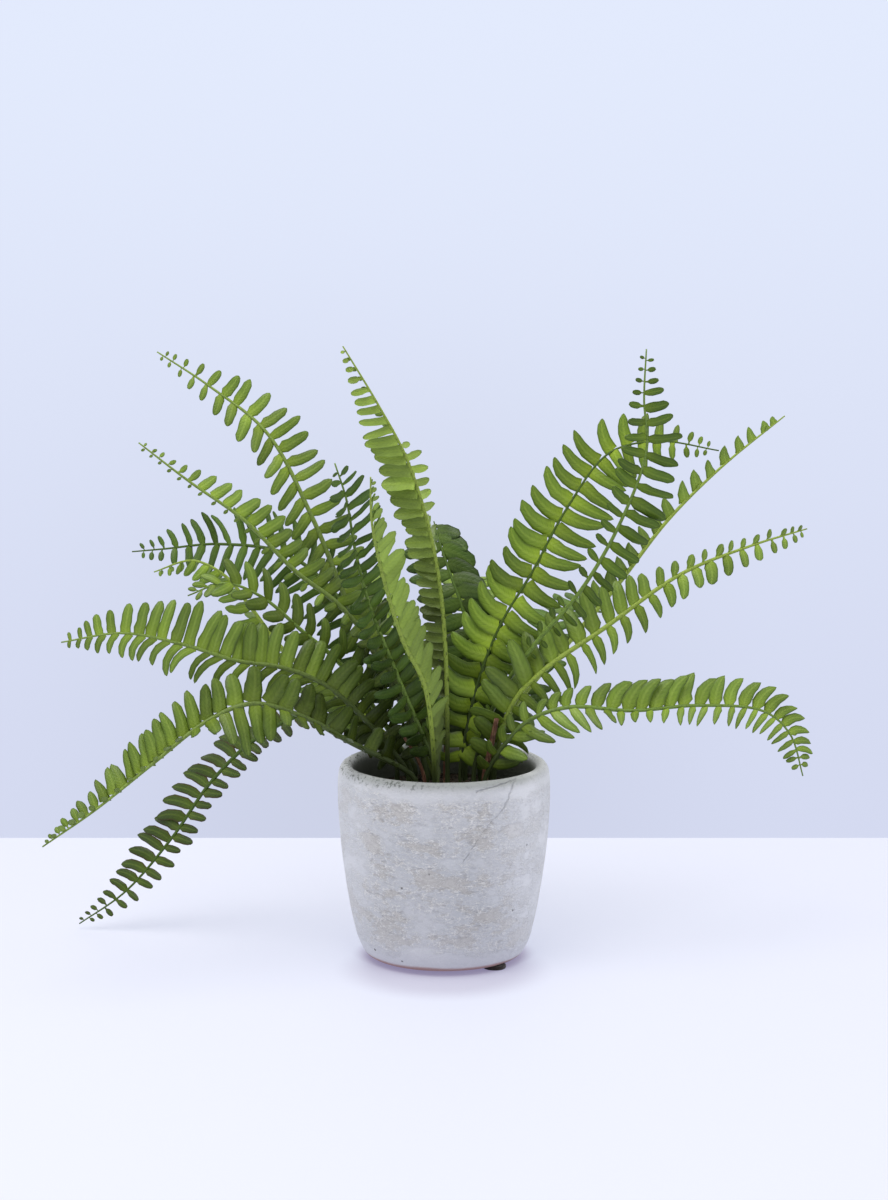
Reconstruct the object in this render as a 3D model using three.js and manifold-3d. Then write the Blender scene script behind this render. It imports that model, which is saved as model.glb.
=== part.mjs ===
// A potted fern: twenty long arching fronds and three old brown stubs rise from the soil of a
// small round-bellied cement pot, which stands on three dark felt pads.
// Millimetres, +Z up. The origin is on the pot's axis, in the plane that the pads stand on, and
// -Y is the front.
import * as THREE from "three";
import { mergeVertices } from "three/addons/utils/BufferGeometryUtils.js";
import Module from "manifold-3d";

const wasm = await Module();
wasm.setup();

// Driving dimensions
const SEAT_GAP = 0.3; // between pieces that touch
const PAD = { radius: 6.5, height: 2, sides: 16, ring: 39, angles: [-43.5, 60, 165] }; // the first shows
const POT = {
  height: 112.3,
  floor: 9,
  mouth: 51,
  lipFoot: 104, // where the lip's curve meets the inner wall
  taper: 0.045, // by which the inner wall narrows for each millimetre down
  sides: 30,
  // radius and height of the outer wall, from the edge of the flat base to the widest place
  outer: [
    [42, 2.3],
    [44.8, 3.8],
    [47.2, 8],
    [49.6, 14],
    [52.9, 28],
    [56.3, 49],
    [58.6, 68],
    [60, 91],
    [59.8, 104],
  ],
  // and over the rounded lip into the mouth
  lip: [
    [58.9, 109],
    [57.1, 111.6],
    [55.2, 112.3],
    [53, 111.5],
    [51.4, 109.2],
  ],
};
const POT_RADIUS = Math.max(...POT.outer.map(([radius]) => radius));
const SOIL = {
  edge: 94.5,
  crown: 97.5,
  shoulder: { radius: 30, rise: 0.7 }, // where it has risen by that share
  wallGap: 0.5,
  sides: 24,
  holeGap: 0.35,
  holeSides: 6,
};
const RIB = {
  radius: 1.15,
  tipRadius: 0.4,
  thinning: 1.5, // power of the length by which it thins
  foot: 78,
  straight: [98, 106], // heights up to which a stalk stands upright
  bareStep: 17,
  needle: 4,
};
const LEAFLET = {
  pitch: 12.8, // from one pair to the next along the rib
  tipPitch: 6.6,
  width: 7.4,
  thickness: 1,
  rootThickness: 1.2,
  tipLength: 1.8,
  slimness: 0.45, // short ones are this share of their length wide
  packing: 0.8, // and none is wider than this share of the pitch
  first: { share: 0.72, fullBy: 0.18 }, // the lowest ones are shorter
  fall: [2.1, 0.9], // powers of the curve by which they dwindle
  closerFrom: 0.45, // share of the leafy stretch where the pitch starts to shrink
  spread: 0.05, // of the length, at random
  smallest: 9, // shorter ones have the simpler outline
  curl: 0.2, // how far the end sweeps towards the frond's tip
  droop: 0.12, // and bends back from the frond's face
};
const CLEAR = {
  leaflet: 2.8,
  rib: 3,
  own: 2,
  floor: 1.2,
  pot: 1.4,
  grain: 1.6, // between the points that stand for a leaflet
  rootShare: 0.3,
};
const SEED = 5;

// Colour, roughness and metalness of each material
const FINISH = {
  cement: [0xc9cccb, 0.9, 0],
  felt: [0x241c1a, 0.95, 0],
  soil: [0x2a211b, 1, 0],
  stub: [0x5d3a2a, 0.8, 0],
  bright: [0x7ea636, 0.5, 0],
  mid: [0x5b8a38, 0.5, 0],
  deep: [0x39683a, 0.5, 0],
};

// The fronds. rib: its points from the foot in the soil to the tip. face: where the upper side
// looks, low down and at the tip. fold and sweep: degrees that the left and right leaflets rise
// from the rib's plane and lean to the tip. blade: length of the longest leaflet. bare: length
// of the stalk without leaflets.
const FRONDS = {
  frond_upper_left: {
    rib: [[-5, 17], [-28, 24, 149], [-53, 34, 193], [-75, 42, 245], [-101, 50, 293],
      [-134, 58, 319], [-165, 62, 339]],
    face: [[0.3, -1, 0.3], [0.1, -1, 0.2]], fold: [14, 10], sweep: [8, 24],
    blade: 20, bare: 50, tone: "mid",
  },
  frond_left_second: {
    rib: [[-10, 6], [-30, 6, 162], [-57, 5, 199], [-83, 4, 220], [-111, 1, 249], [-142, -3, 272],
      [-169, -8, 294]],
    face: [[0.1, -1, 0.5], [0.2, -0.7, 0.8]], fold: [20, 14], sweep: [12, 20],
    blade: 20, bare: 52, tone: "mid",
  },
  frond_left_dark: {
    rib: [[-7, 28], [-29, 42, 145], [-55, 62, 188], [-90, 80, 218], [-132, 94, 223],
      [-166, 102, 219], [-186, 104, 217]],
    face: [[0.2, -0.7, 0.8], [0, -0.8, 0.6]], fold: [8, 30], sweep: [24, 18],
    blade: 21, bare: 54, tone: "deep",
  },
  frond_left_small: {
    rib: [[-17, 18], [-60, 22, 146], [-91, 26, 171], [-111, 29, 197], [-124, 31, 213],
      [-143, 33, 222], [-166, 34, 215]],
    face: [[0.2, -0.6, 0.8], [0.1, -0.3, 1]], fold: [20, 20], sweep: [16, 16],
    blade: 15, bare: 56, tone: "bright",
  },
  frond_left_inner: {
    rib: [[-19, 5], [-56, -6, 167], [-79, -12, 189], [-101, -17, 209], [-121, -20, 217],
      [-142, -22, 210]],
    face: [[0.3, -0.8, 0.6], [0.1, -0.5, 0.9]], fold: [18, 16], sweep: [20, 20],
    blade: 17, bare: 54, tone: "mid",
  },
  frond_left_level: {
    rib: [[-20, -8], [-61, -22, 157], [-87, -30, 171], [-114, -38, 177], [-144, -47, 188],
      [-174, -55, 195], [-207, -62, 191]],
    face: [[0.2, -1, 0.5], [0, -1, 0.1]], fold: [34, 8], sweep: [26, -6],
    blade: 22, bare: 42, tone: "mid",
  },
  frond_left_drooping: {
    rib: [[-16, -19], [-53, -33, 131], [-76, -43, 146], [-104, -54, 156], [-127, -64, 149],
      [-157, -76, 127], [-186, -88, 105], [-214, -100, 87]],
    face: [[0.5, -0.5, 0.8], [-0.1, -0.35, 1]], fold: [52, 46], sweep: [10, 14],
    blade: 20, bare: 42, tone: "mid",
  },
  frond_left_trailing: {
    rib: [[-27, 15], [-71, 30, 134], [-106, 38, 119], [-134, 44, 92], [-159, 48, 56],
      [-187, 52, 23], [-215, 53, 3]],
    face: [[0, -0.5, 1], [-0.3, -0.9, 0.4]], fold: [36, 6], sweep: [14, 26],
    blade: 19, bare: 58, tone: "deep",
  },
  frond_centre_dark: {
    rib: [[-4, -9], [-26, -22, 166], [-40, -36, 205], [-48, -51, 240], [-52, -66, 269],
      [-58, -74, 290]],
    face: [[0.5, -0.8, 0.4], [0.6, -0.7, 0.3]], fold: [20, 34], sweep: [16, 22],
    blade: 17, bare: 58, tone: "deep",
  },
  frond_tall: {
    rib: [[2, 3], [1, -8, 172], [-2, -20, 213], [-8, -30, 248], [-20, -42, 288], [-35, -52, 318],
      [-54, -62, 351]],
    face: [[0.2, 1, 0.3], [0.3, 1, 0.3]], fold: [58, 10], sweep: [16, 4],
    blade: 21, bare: 46, tone: "bright",
  },
  frond_front: {
    rib: [[-5, -26], [-10, -54, 164], [-22, -77, 195], [-32, -104, 234], [-37, -130, 266],
      [-37, -148, 291]],
    face: [[-0.3, 1, 0.6], [-0.2, 1, 0.6]], fold: [12, 52], sweep: [20, 10],
    blade: 20, bare: 28, tone: "bright",
  },
  frond_centre_back: {
    rib: [[12, 19], [18, 28, 165], [10, 37, 196], [3, 46, 214], [-3, 56, 231], [-6, 70, 240]],
    face: [[-0.3, -1, 0.3], [-0.1, -0.7, 0.7]], fold: [8, 30], sweep: [2, 14],
    blade: 22, bare: 50, tone: "deep",
  },
  frond_right_broad: {
    rib: [[9, 9], [18, 9, 152], [31, 11, 187], [50, 13, 219], [69, 16, 254], [93, 20, 285],
      [121, 24, 291], [156, 30, 285]],
    face: [[-0.15, -1, 0.1], [0, -1, 0.2]], fold: [6, 6], sweep: [24, 12],
    blade: 21, bare: 36, tone: "bright",
  },
  frond_right_upright: {
    rib: [[17, 5], [30, 1, 148], [51, -8, 181], [76, -17, 213], [96, -25, 250], [110, -33, 292],
      [108, -38, 320], [109, -38, 348]],
    face: [[0, -1, 0.3], [0.1, -1, 0]], fold: [12, 14], sweep: [14, -2],
    blade: 19, bare: 64, tone: "mid",
  },
  frond_right_folded: {
    rib: [[21, 23], [43, 37, 140], [73, 54, 172], [101, 70, 202], [131, 86, 238], [164, 102, 268],
      [203, 118, 297]],
    face: [[-0.3, -0.5, 1], [-0.4, -0.3, 1]], fold: [56, 50], sweep: [10, 10],
    blade: 17, bare: 54, tone: "mid",
  },
  frond_right_middle: {
    rib: [[28, -3], [38, -7, 146], [56, -7, 166], [89, 0, 188], [133, 18, 216], [175, 42, 229],
      [211, 66, 236]],
    face: [[-0.1, -1, 0.5], [0, -1, 0.2]], fold: [10, 8], sweep: [20, -6],
    blade: 20, bare: 38, tone: "mid",
  },
  frond_right_low: {
    rib: [[23, -15], [44, -22, 138], [68, -24, 148], [104, -18, 145], [143, -8, 146],
      [181, 4, 140], [196, 8, 126], [204, 10, 101]],
    face: [[0, -0.8, 0.7], [0.4, -0.9, 0.3]], fold: [12, 34], sweep: [16, -10],
    blade: 20, bare: 34, tone: "mid",
  },
  frond_back_middle: {
    rib: [[10, 31], [12, 54, 167], [13, 76, 192], [14, 100, 201], [15, 124, 185], [18, 150, 156]],
    face: [[0.1, -1, 0.3], [0.1, 0.6, 1]], fold: [16, 16], sweep: [14, 14],
    blade: 20, bare: 46, tone: "bright",
  },
  frond_back_right: {
    rib: [[27, 33], [56, 72, 163], [72, 98, 183], [88, 122, 185], [101, 146, 169]],
    face: [[-0.5, -1, 0.3], [0.3, 0.4, 1]], fold: [14, 18], sweep: [14, 14],
    blade: 19, bare: 44, tone: "deep",
  },
  frond_back_left: {
    rib: [[-5, 40], [-25, 75, 169], [-43, 100, 195], [-60, 126, 197], [-70, 150, 181]],
    face: [[0.4, -1, 0.3], [-0.3, 0.5, 1]], fold: [18, 14], sweep: [14, 14],
    blade: 19, bare: 44, tone: "mid",
  },
};

// The old brown stubs: foot, top, and the radius at each
const STUB = { sides: 5, steps: 3, bendShare: 0.35, bendHeight: 118 };
const STUBS = {
  stub_middle: { foot: [1, 13], top: [2, 12, 143], radii: [1.9, 1.1] },
  stub_right: { foot: [23, -7.5], top: [29.5, -10.5, 139], radii: [2.1, 1.4] },
  stub_left: { foot: [-11, -17], top: [-22, -20, 130], radii: [1.3, 0.8] },
};

const radians = THREE.MathUtils.degToRad;
const mix = THREE.MathUtils.lerp;

// A repeatable draw from -1 to 1.
let state = SEED;
function draw() {
  state = (state * 1664525 + 1013904223) >>> 0;
  return (state / 2 ** 32) * 2 - 1;
}

function named(name, geometry, finish) {
  const [color, roughness, metalness] = FINISH[finish];
  const material = new THREE.MeshStandardMaterial({ color, roughness, metalness, flatShading: true });
  const mesh = new THREE.Mesh(geometry, material);
  mesh.name = name;
  return mesh;
}

// The solid of a closed geometry, and back.
function solid(geometry) {
  const bare = geometry.clone().deleteAttribute("normal").deleteAttribute("uv");
  const merged = mergeVertices(bare, 1e-3);
  return new wasm.Manifold(
    new wasm.Mesh({
      numProp: 3,
      vertProperties: new Float32Array(merged.attributes.position.array),
      triVerts: new Uint32Array(merged.index.array),
    }),
  );
}

function geometryOf(made) {
  const mesh = made.getMesh();
  const geometry = new THREE.BufferGeometry();
  geometry.setAttribute("position", new THREE.BufferAttribute(mesh.vertProperties, 3));
  return geometry.setIndex(new THREE.BufferAttribute(mesh.triVerts, 1));
}

// A body of revolution about the Z axis from [radius, height] pairs.
function turned(profile, sides) {
  const points = profile.map(([radius, height]) => new THREE.Vector2(radius, height));
  return new THREE.LatheGeometry(points, sides).rotateX(Math.PI / 2);
}

function innerWall(height) {
  return POT.mouth - POT.taper * (POT.height - height);
}

function pot() {
  const profile = [
    [0, POT.outer[0][1]],
    ...POT.outer,
    ...POT.lip,
    [innerWall(POT.lipFoot), POT.lipFoot],
    [innerWall(POT.floor), POT.floor],
    [0, POT.floor],
  ];
  return named("pot", turned(profile, POT.sides), "cement");
}

function pads() {
  return PAD.angles.map((degrees, i) => {
    const angle = radians(degrees);
    const disc = new THREE.CylinderGeometry(PAD.radius, PAD.radius, PAD.height, PAD.sides);
    disc.rotateX(Math.PI / 2);
    disc.translate(PAD.ring * Math.cos(angle), PAD.ring * Math.sin(angle), PAD.height / 2);
    return named(`pad_${i + 1}`, disc, "felt");
  });
}

// A plain round hole from the soil's surface down, round a stem of that radius.
function hole([x, y], radius) {
  const bottom = RIB.foot - SEAT_GAP;
  const reach = 2 * (SOIL.crown - bottom);
  const wide = (radius + SOIL.holeGap) / Math.cos(Math.PI / SOIL.holeSides);
  const drill = new THREE.CylinderGeometry(wide, wide, reach, SOIL.holeSides);
  drill.rotateX(Math.PI / 2).translate(x, y, bottom + reach / 2);
  return solid(drill);
}

function soil() {
  const side = (height) => [innerWall(height) - SOIL.wallGap, height];
  const { radius, rise } = SOIL.shoulder;
  const profile = [
    [0, POT.floor + SEAT_GAP],
    side(POT.floor + SEAT_GAP),
    side(SOIL.edge),
    [radius, mix(SOIL.edge, SOIL.crown, rise)],
    [0, SOIL.crown],
  ];
  let made = solid(turned(profile, SOIL.sides));
  for (const { rib } of Object.values(FRONDS)) made = made.subtract(hole(rib[0], RIB.radius));
  for (const { foot, radii } of Object.values(STUBS)) made = made.subtract(hole(foot, radii[0]));
  return named("soil", geometryOf(made), "soil");
}

// The points of a rib: straight up out of the soil, then along the frond's own points.
function ribCurve({ rib }) {
  const [[x, y], ...rest] = rib;
  const points = [RIB.foot, ...RIB.straight].map((z) => [x, y, z]).concat(rest);
  return new THREE.CatmullRomCurve3(points.map((p) => new THREE.Vector3(...p)), false, "centripetal");
}

// Place, direction, upper side and right side of the rib at a length along it.
function frameAt(curve, length, along, face) {
  const u = THREE.MathUtils.clamp(along / length, 0, 1);
  const tangent = curve.getTangentAt(u);
  const up = new THREE.Vector3(...face[0]).lerp(new THREE.Vector3(...face[1]), u);
  up.addScaledVector(tangent, -up.dot(tangent)).normalize();
  const right = new THREE.Vector3().crossVectors(tangent, up);
  return { at: curve.getPointAt(u), tangent, up, right, u };
}

// How far along the rib each pair of leaflets starts, and the leafy end.
function pairPlaces(length, bare) {
  const places = [];
  const end = length - RIB.needle;
  for (let along = bare; along < end - LEAFLET.tipPitch; ) {
    const far = THREE.MathUtils.smoothstep(along, mix(bare, end, LEAFLET.closerFrom), end);
    const pitch = mix(LEAFLET.pitch, LEAFLET.tipPitch, far);
    places.push(along);
    along += pitch;
  }
  places.push(end);
  return places;
}

// Length of a leaflet at a fraction of the leafy stretch: short at first, full, then dwindling.
function leafletLength(blade, far) {
  const { share, fullBy } = LEAFLET.first;
  const rise = mix(share, 1, THREE.MathUtils.smoothstep(far, 0, fullBy));
  const fall = Math.pow(1 - Math.pow(far, LEAFLET.fall[0]), LEAFLET.fall[1]);
  return Math.max(LEAFLET.tipLength, blade * rise * fall);
}

// Outlines of the two kinds of leaflet: fraction of the length and of the half width, from the
// root's lower corner round the blunt end to its upper corner, and the inner point.
const FULL = { edge: [[0.14, -0.9], [0.8, -0.84], [1, 0.05], [0.84, 0.86], [0.18, 0.92]], inner: 0.5 };
const SMALL = { edge: [[0.55, -1], [1, 0], [0.55, 1]], inner: null };

// The surface point of a leaflet at a fraction of its length and half width.
function bladePoint(leaf, far, across) {
  const { root, out, forward, lift, length, half } = leaf;
  const sweep = LEAFLET.curl * length * far * far;
  const drop = LEAFLET.droop * length * far * far;
  return root
    .clone()
    .addScaledVector(out, length * far)
    .addScaledVector(forward, half * across + sweep)
    .addScaledVector(lift, -drop);
}

// A leaflet beside the rib, tilted by some degrees from its natural fold.
function leaflet(frame, side, spec, length, half, tilt) {
  const index = side < 0 ? 0 : 1;
  const fold = radians(spec.fold[index] + tilt);
  const sweep = radians(spec.sweep[index]);
  const flat = frame.right.clone().multiplyScalar(side * Math.cos(fold));
  const raised = flat.addScaledVector(frame.up, Math.sin(fold));
  const out = raised.clone().multiplyScalar(Math.cos(sweep)).addScaledVector(frame.tangent, Math.sin(sweep));
  const lift = new THREE.Vector3().crossVectors(out, frame.tangent).multiplyScalar(side).normalize();
  const forward = new THREE.Vector3().crossVectors(lift, out).multiplyScalar(side).normalize();
  const root = frame.at.clone().addScaledVector(frame.right, side * frame.radius);
  return { root, out, forward, lift, length, half };
}

// Points spread over a leaflet, for keeping it clear of others. Those near its root are marked,
// because there it meets its own frond.
function samples(leaf) {
  const points = [];
  const rows = Math.max(2, Math.ceil(leaf.length / CLEAR.grain));
  const columns = Math.max(1, Math.ceil((2 * leaf.half) / CLEAR.grain));
  for (let i = 1; i <= rows; i++)
    for (let j = 0; j <= columns; j++) {
      const p = bladePoint(leaf, i / rows, (2 * j) / columns - 1);
      p.atRoot = i / rows < CLEAR.rootShare;
      points.push(p);
    }
  return points;
}

// What is already placed, in cells of the size of the largest clearance.
const cells = new Map();
const CELL = Math.max(CLEAR.leaflet, CLEAR.rib);
function cellKey(i, j, k) {
  return `${i} ${j} ${k}`;
}
function keep(points, owner, kind) {
  for (const p of points) {
    const key = cellKey(Math.floor(p.x / CELL), Math.floor(p.y / CELL), Math.floor(p.z / CELL));
    if (!cells.has(key)) cells.set(key, []);
    cells.get(key).push({ p, owner, kind });
  }
}

// The distance that a leaflet's point keeps from a placed point.
function wanted(placed, p, owner) {
  if (placed.owner !== owner) return placed.kind === "rib" ? CLEAR.rib : CLEAR.leaflet;
  return placed.kind === "rib" || p.atRoot || placed.p.atRoot ? 0 : CLEAR.own;
}

// Whether a leaflet's points keep clear of the floor, the pot, the soil and all that is placed.
function isClear(points, owner) {
  for (const p of points) {
    if (p.z < CLEAR.floor) return false;
    const reach = Math.hypot(p.x, p.y);
    const inMouth = reach < POT.mouth - CLEAR.pot && p.z > SOIL.crown + CLEAR.pot;
    if (p.z < POT.height + CLEAR.pot && reach < POT_RADIUS + CLEAR.pot && !inMouth) return false;
    const [i, j, k] = [p.x, p.y, p.z].map((v) => Math.floor(v / CELL));
    for (let a = -1; a <= 1; a++)
      for (let b = -1; b <= 1; b++)
        for (let c = -1; c <= 1; c++)
          for (const placed of cells.get(cellKey(i + a, j + b, k + c)) ?? [])
            if (placed.p.distanceTo(p) < wanted(placed, p, owner)) return false;
  }
  return true;
}

const TILTS = [0, 12, -12, 24, -24, 36, -36, 50, -50, 64, -64];
const SHARES = [1, 0.8, 0.6, 0.42];

// The first tilt and share of the length at which a leaflet is clear, or nothing.
function clearLeaflet(frame, side, spec, length, half, owner) {
  for (const share of SHARES)
    for (const tilt of TILTS) {
      const leaf = leaflet(frame, side, spec, length * share, half, tilt);
      if (isClear(samples(leaf), owner)) return leaf;
    }
  return null;
}

// Collects the triangles of one closed surface.
class Skin {
  points = [];
  faces = [];
  add(p) {
    this.points.push(p.x, p.y, p.z);
    return this.points.length / 3 - 1;
  }
  // A fan over a ring of points from its first one, turned over if asked.
  fan(ring, flip) {
    for (let i = 1; i < ring.length - 1; i++)
      this.faces.push(...(flip ? [ring[0], ring[i + 1], ring[i]] : [ring[0], ring[i], ring[i + 1]]));
  }
  // A fan round an inner point.
  wheel(hub, ring, flip) {
    ring.forEach((p, i) => this.fan([hub, p, ring[(i + 1) % ring.length]], flip));
  }
  geometry() {
    const geometry = new THREE.BufferGeometry();
    geometry.setAttribute("position", new THREE.Float32BufferAttribute(this.points, 3));
    return geometry.setIndex(this.faces);
  }
}

// Four points round the rib: top, right, bottom, left.
function ribRing(skin, frame) {
  const offsets = [
    [0, 1],
    [1, 0],
    [0, -1],
    [-1, 0],
  ];
  return offsets.map(([x, y]) => {
    const p = frame.at.clone().addScaledVector(frame.right, x * frame.radius);
    return skin.add(p.addScaledVector(frame.up, y * frame.radius));
  });
}

// Sews a leaflet to the side points of two rings, and gives the points that the rib's upper and
// lower faces take in between them.
function sewLeaflet(skin, leaf, near, far, side) {
  const flip = side < 0;
  const kind = leaf.length < LEAFLET.smallest ? SMALL : FULL;
  const edge = kind.edge.map(([along, across]) => skin.add(bladePoint(leaf, along, across)));
  const thick = Math.min(LEAFLET.rootThickness, leaf.half) / 2;
  const root = [thick, -thick].map((h) => skin.add(leaf.root.clone().addScaledVector(leaf.lift, h)));
  root.forEach((middle, i) => {
    const turn = i === 1 ? !flip : flip;
    if (kind.inner === null) {
      skin.fan([middle, near, ...edge, far], turn);
      return;
    }
    const rise = (i === 0 ? 1 : -1) * (LEAFLET.thickness / 2);
    const hub = bladePoint(leaf, kind.inner, 0).addScaledVector(leaf.lift, rise);
    skin.fan([middle, near, edge[0]], turn);
    skin.wheel(skin.add(hub), [middle, ...edge], turn);
    skin.fan([middle, edge[edge.length - 1], far], turn);
  });
  return root;
}

// One side of the rib between two rings, with or without a leaflet.
function ribSide(skin, near, far, side, leaf) {
  const flip = side < 0;
  const edge = side > 0 ? 1 : 3;
  const [top, out, bottom] = [0, edge, 2];
  if (!leaf) {
    skin.fan([near[top], near[out], far[out], far[top]], flip);
    skin.fan([near[out], near[bottom], far[bottom], far[out]], flip);
    return;
  }
  const [upper, lower] = sewLeaflet(skin, leaf, near[out], far[out], side);
  skin.fan([upper, far[out], far[top], near[top], near[out]], flip);
  skin.fan([lower, near[out], near[bottom], far[bottom], far[out]], flip);
}

function frond(name, spec) {
  const curve = ribCurve(spec);
  const length = curve.getLength();
  const frame = (along) => {
    const made = frameAt(curve, length, along, spec.face);
    made.radius = mix(RIB.radius, RIB.tipRadius, Math.pow(made.u, RIB.thinning));
    return made;
  };
  const skin = new Skin();
  const steps = Math.round(spec.bare / RIB.bareStep);
  let near = ribRing(skin, frame(0));
  skin.fan(near, true);
  for (let i = 1; i <= steps; i++) {
    const far = ribRing(skin, frame((spec.bare * i) / steps));
    for (const side of [1, -1]) ribSide(skin, near, far, side, null);
    near = far;
  }
  const places = pairPlaces(length, spec.bare);
  for (let i = 0; i < places.length - 1; i++) {
    const pitch = places[i + 1] - places[i];
    const middle = frame(places[i] + pitch / 2);
    const far = ribRing(skin, frame(places[i + 1]));
    const share = i / (places.length - 2);
    for (const side of [1, -1]) {
      const reach = leafletLength(spec.blade, share) * (1 + LEAFLET.spread * draw());
      const slim = LEAFLET.slimness * reach + RIB.tipRadius;
      const half = Math.min(LEAFLET.width, slim, LEAFLET.packing * pitch) / 2;
      const leaf = clearLeaflet(middle, side, spec, reach, half, name);
      if (leaf) keep(samples(leaf), name, "leaflet");
      ribSide(skin, near, far, side, leaf);
    }
    near = far;
  }
  const tip = skin.add(curve.getPointAt(1));
  near.forEach((p, i) => skin.fan([p, near[(i + 1) % 4], tip], false));
  return named(name, skin.geometry(), spec.tone);
}

// The line of a stub: upright out of the soil, then bending over to its top.
function stubCurve({ foot: [x, y], top }) {
  const straight = [RIB.foot, ...RIB.straight].map((z) => [x, y, z]);
  const bend = [mix(x, top[0], STUB.bendShare), mix(y, top[1], STUB.bendShare), STUB.bendHeight];
  const points = [...straight, bend, top].map((p) => new THREE.Vector3(...p));
  return new THREE.CatmullRomCurve3(points, false, "centripetal");
}

function nearestOf(points, p) {
  const away = points.map((q) => q.distanceTo(p));
  return away.indexOf(Math.min(...away));
}

// A stub: a tapering peg, extruded along its line and then narrowed ring by ring.
function stub(name, spec) {
  const curve = stubCurve(spec);
  const [wide, narrow] = spec.radii;
  const circle = new THREE.Shape().absarc(0, 0, wide, 0, 2 * Math.PI).getPoints(STUB.sides);
  const geometry = new THREE.ExtrudeGeometry(new THREE.Shape(circle.slice(0, -1)), {
    steps: STUB.steps,
    extrudePath: curve,
    bevelEnabled: false,
  });
  const middles = curve.getSpacedPoints(STUB.steps);
  const position = geometry.attributes.position;
  for (let i = 0; i < position.count; i++) {
    const p = new THREE.Vector3().fromBufferAttribute(position, i);
    const ring = nearestOf(middles, p);
    const share = mix(1, narrow / wide, ring / STUB.steps);
    p.sub(middles[ring]).multiplyScalar(share).add(middles[ring]);
    position.setXYZ(i, p.x, p.y, p.z);
  }
  return named(name, geometry, "stub");
}

// Marks a rib or a stub as placed.
function keepLine(name, curve) {
  keep(curve.getSpacedPoints(Math.ceil(curve.getLength() / CLEAR.grain)), name, "rib");
}

const plant = new THREE.Group();
plant.add(pot(), ...pads(), soil());
for (const [name, spec] of Object.entries(STUBS)) {
  plant.add(stub(name, spec));
  keepLine(name, stubCurve(spec));
}
for (const [name, spec] of Object.entries(FRONDS)) keepLine(name, ribCurve(spec));
for (const [name, spec] of Object.entries(FRONDS)) plant.add(frond(name, spec));

export default plant;
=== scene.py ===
"""A potted fern: twenty arching fronds, each with about 25 pairs of leaflets, and three old
brown stubs, in the soil of a whitewashed cement pot that stands on three felt pads.

Metres, apart from the table of fronds, +Z up, -Y to the front. Each piece takes the place of
the solid of its name in the frame.
"""

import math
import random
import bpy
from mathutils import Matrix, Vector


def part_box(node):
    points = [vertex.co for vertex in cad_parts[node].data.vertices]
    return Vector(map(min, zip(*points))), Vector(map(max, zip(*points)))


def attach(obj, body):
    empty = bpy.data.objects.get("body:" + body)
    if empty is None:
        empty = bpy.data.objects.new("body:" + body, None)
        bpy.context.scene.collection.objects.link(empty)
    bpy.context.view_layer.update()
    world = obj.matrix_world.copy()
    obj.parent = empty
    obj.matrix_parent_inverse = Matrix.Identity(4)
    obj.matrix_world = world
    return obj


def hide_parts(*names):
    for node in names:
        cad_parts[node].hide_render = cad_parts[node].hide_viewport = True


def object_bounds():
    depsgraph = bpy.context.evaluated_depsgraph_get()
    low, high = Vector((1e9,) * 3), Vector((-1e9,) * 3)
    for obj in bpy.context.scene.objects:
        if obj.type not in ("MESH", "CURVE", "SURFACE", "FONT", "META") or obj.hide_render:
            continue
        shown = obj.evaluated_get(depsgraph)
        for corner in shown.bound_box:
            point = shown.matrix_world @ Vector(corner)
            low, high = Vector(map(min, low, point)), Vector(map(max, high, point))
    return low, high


bl_info = {
    "name": "Potted Fern",
    "version": (1, 0, 0),
    "blender": (4, 5, 0),
    "location": "View3D > Sidebar > Fern",
    "description": "Builds a potted fern and its stage",
    "category": "Add Mesh",
}

from collections import namedtuple

import bmesh
import bpy
from bpy.props import FloatProperty, FloatVectorProperty, IntProperty, PointerProperty
from mathutils import Matrix, Vector, noise

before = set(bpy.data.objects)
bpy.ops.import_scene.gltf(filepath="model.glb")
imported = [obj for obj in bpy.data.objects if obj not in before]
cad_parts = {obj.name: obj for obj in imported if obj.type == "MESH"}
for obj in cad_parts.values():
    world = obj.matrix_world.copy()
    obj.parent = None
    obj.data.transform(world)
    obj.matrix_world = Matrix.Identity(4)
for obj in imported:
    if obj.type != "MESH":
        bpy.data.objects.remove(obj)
cad_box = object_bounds()

BODY = "root"


def metres(value):
    """A length in millimetres, or each of those in a list or tuple, in metres."""
    if isinstance(value, (list, tuple)):
        return tuple(metres(part) for part in value)
    return value / 1000


def frond(**habit):
    """One frond of the table, with the common habit where nothing else is given."""
    plan = dict(
        fold=12, sweep=4, curl=18, droop=18, roll=6, blade=20, width=6.4, stout=0.36, taper=0.86,
        root=0.66, growth=0.2, stalked=1, spacing=9.2, bare=50, dim=(0.5, 0.1, 0, 0), tone="mid",
        rib_tone="bright", rib_scale=1,
    )
    plan.update(habit)
    for name in ("rib", "blade", "width", "spacing", "bare"):
        plan[name] = metres(plan[name])
    return plan


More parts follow.
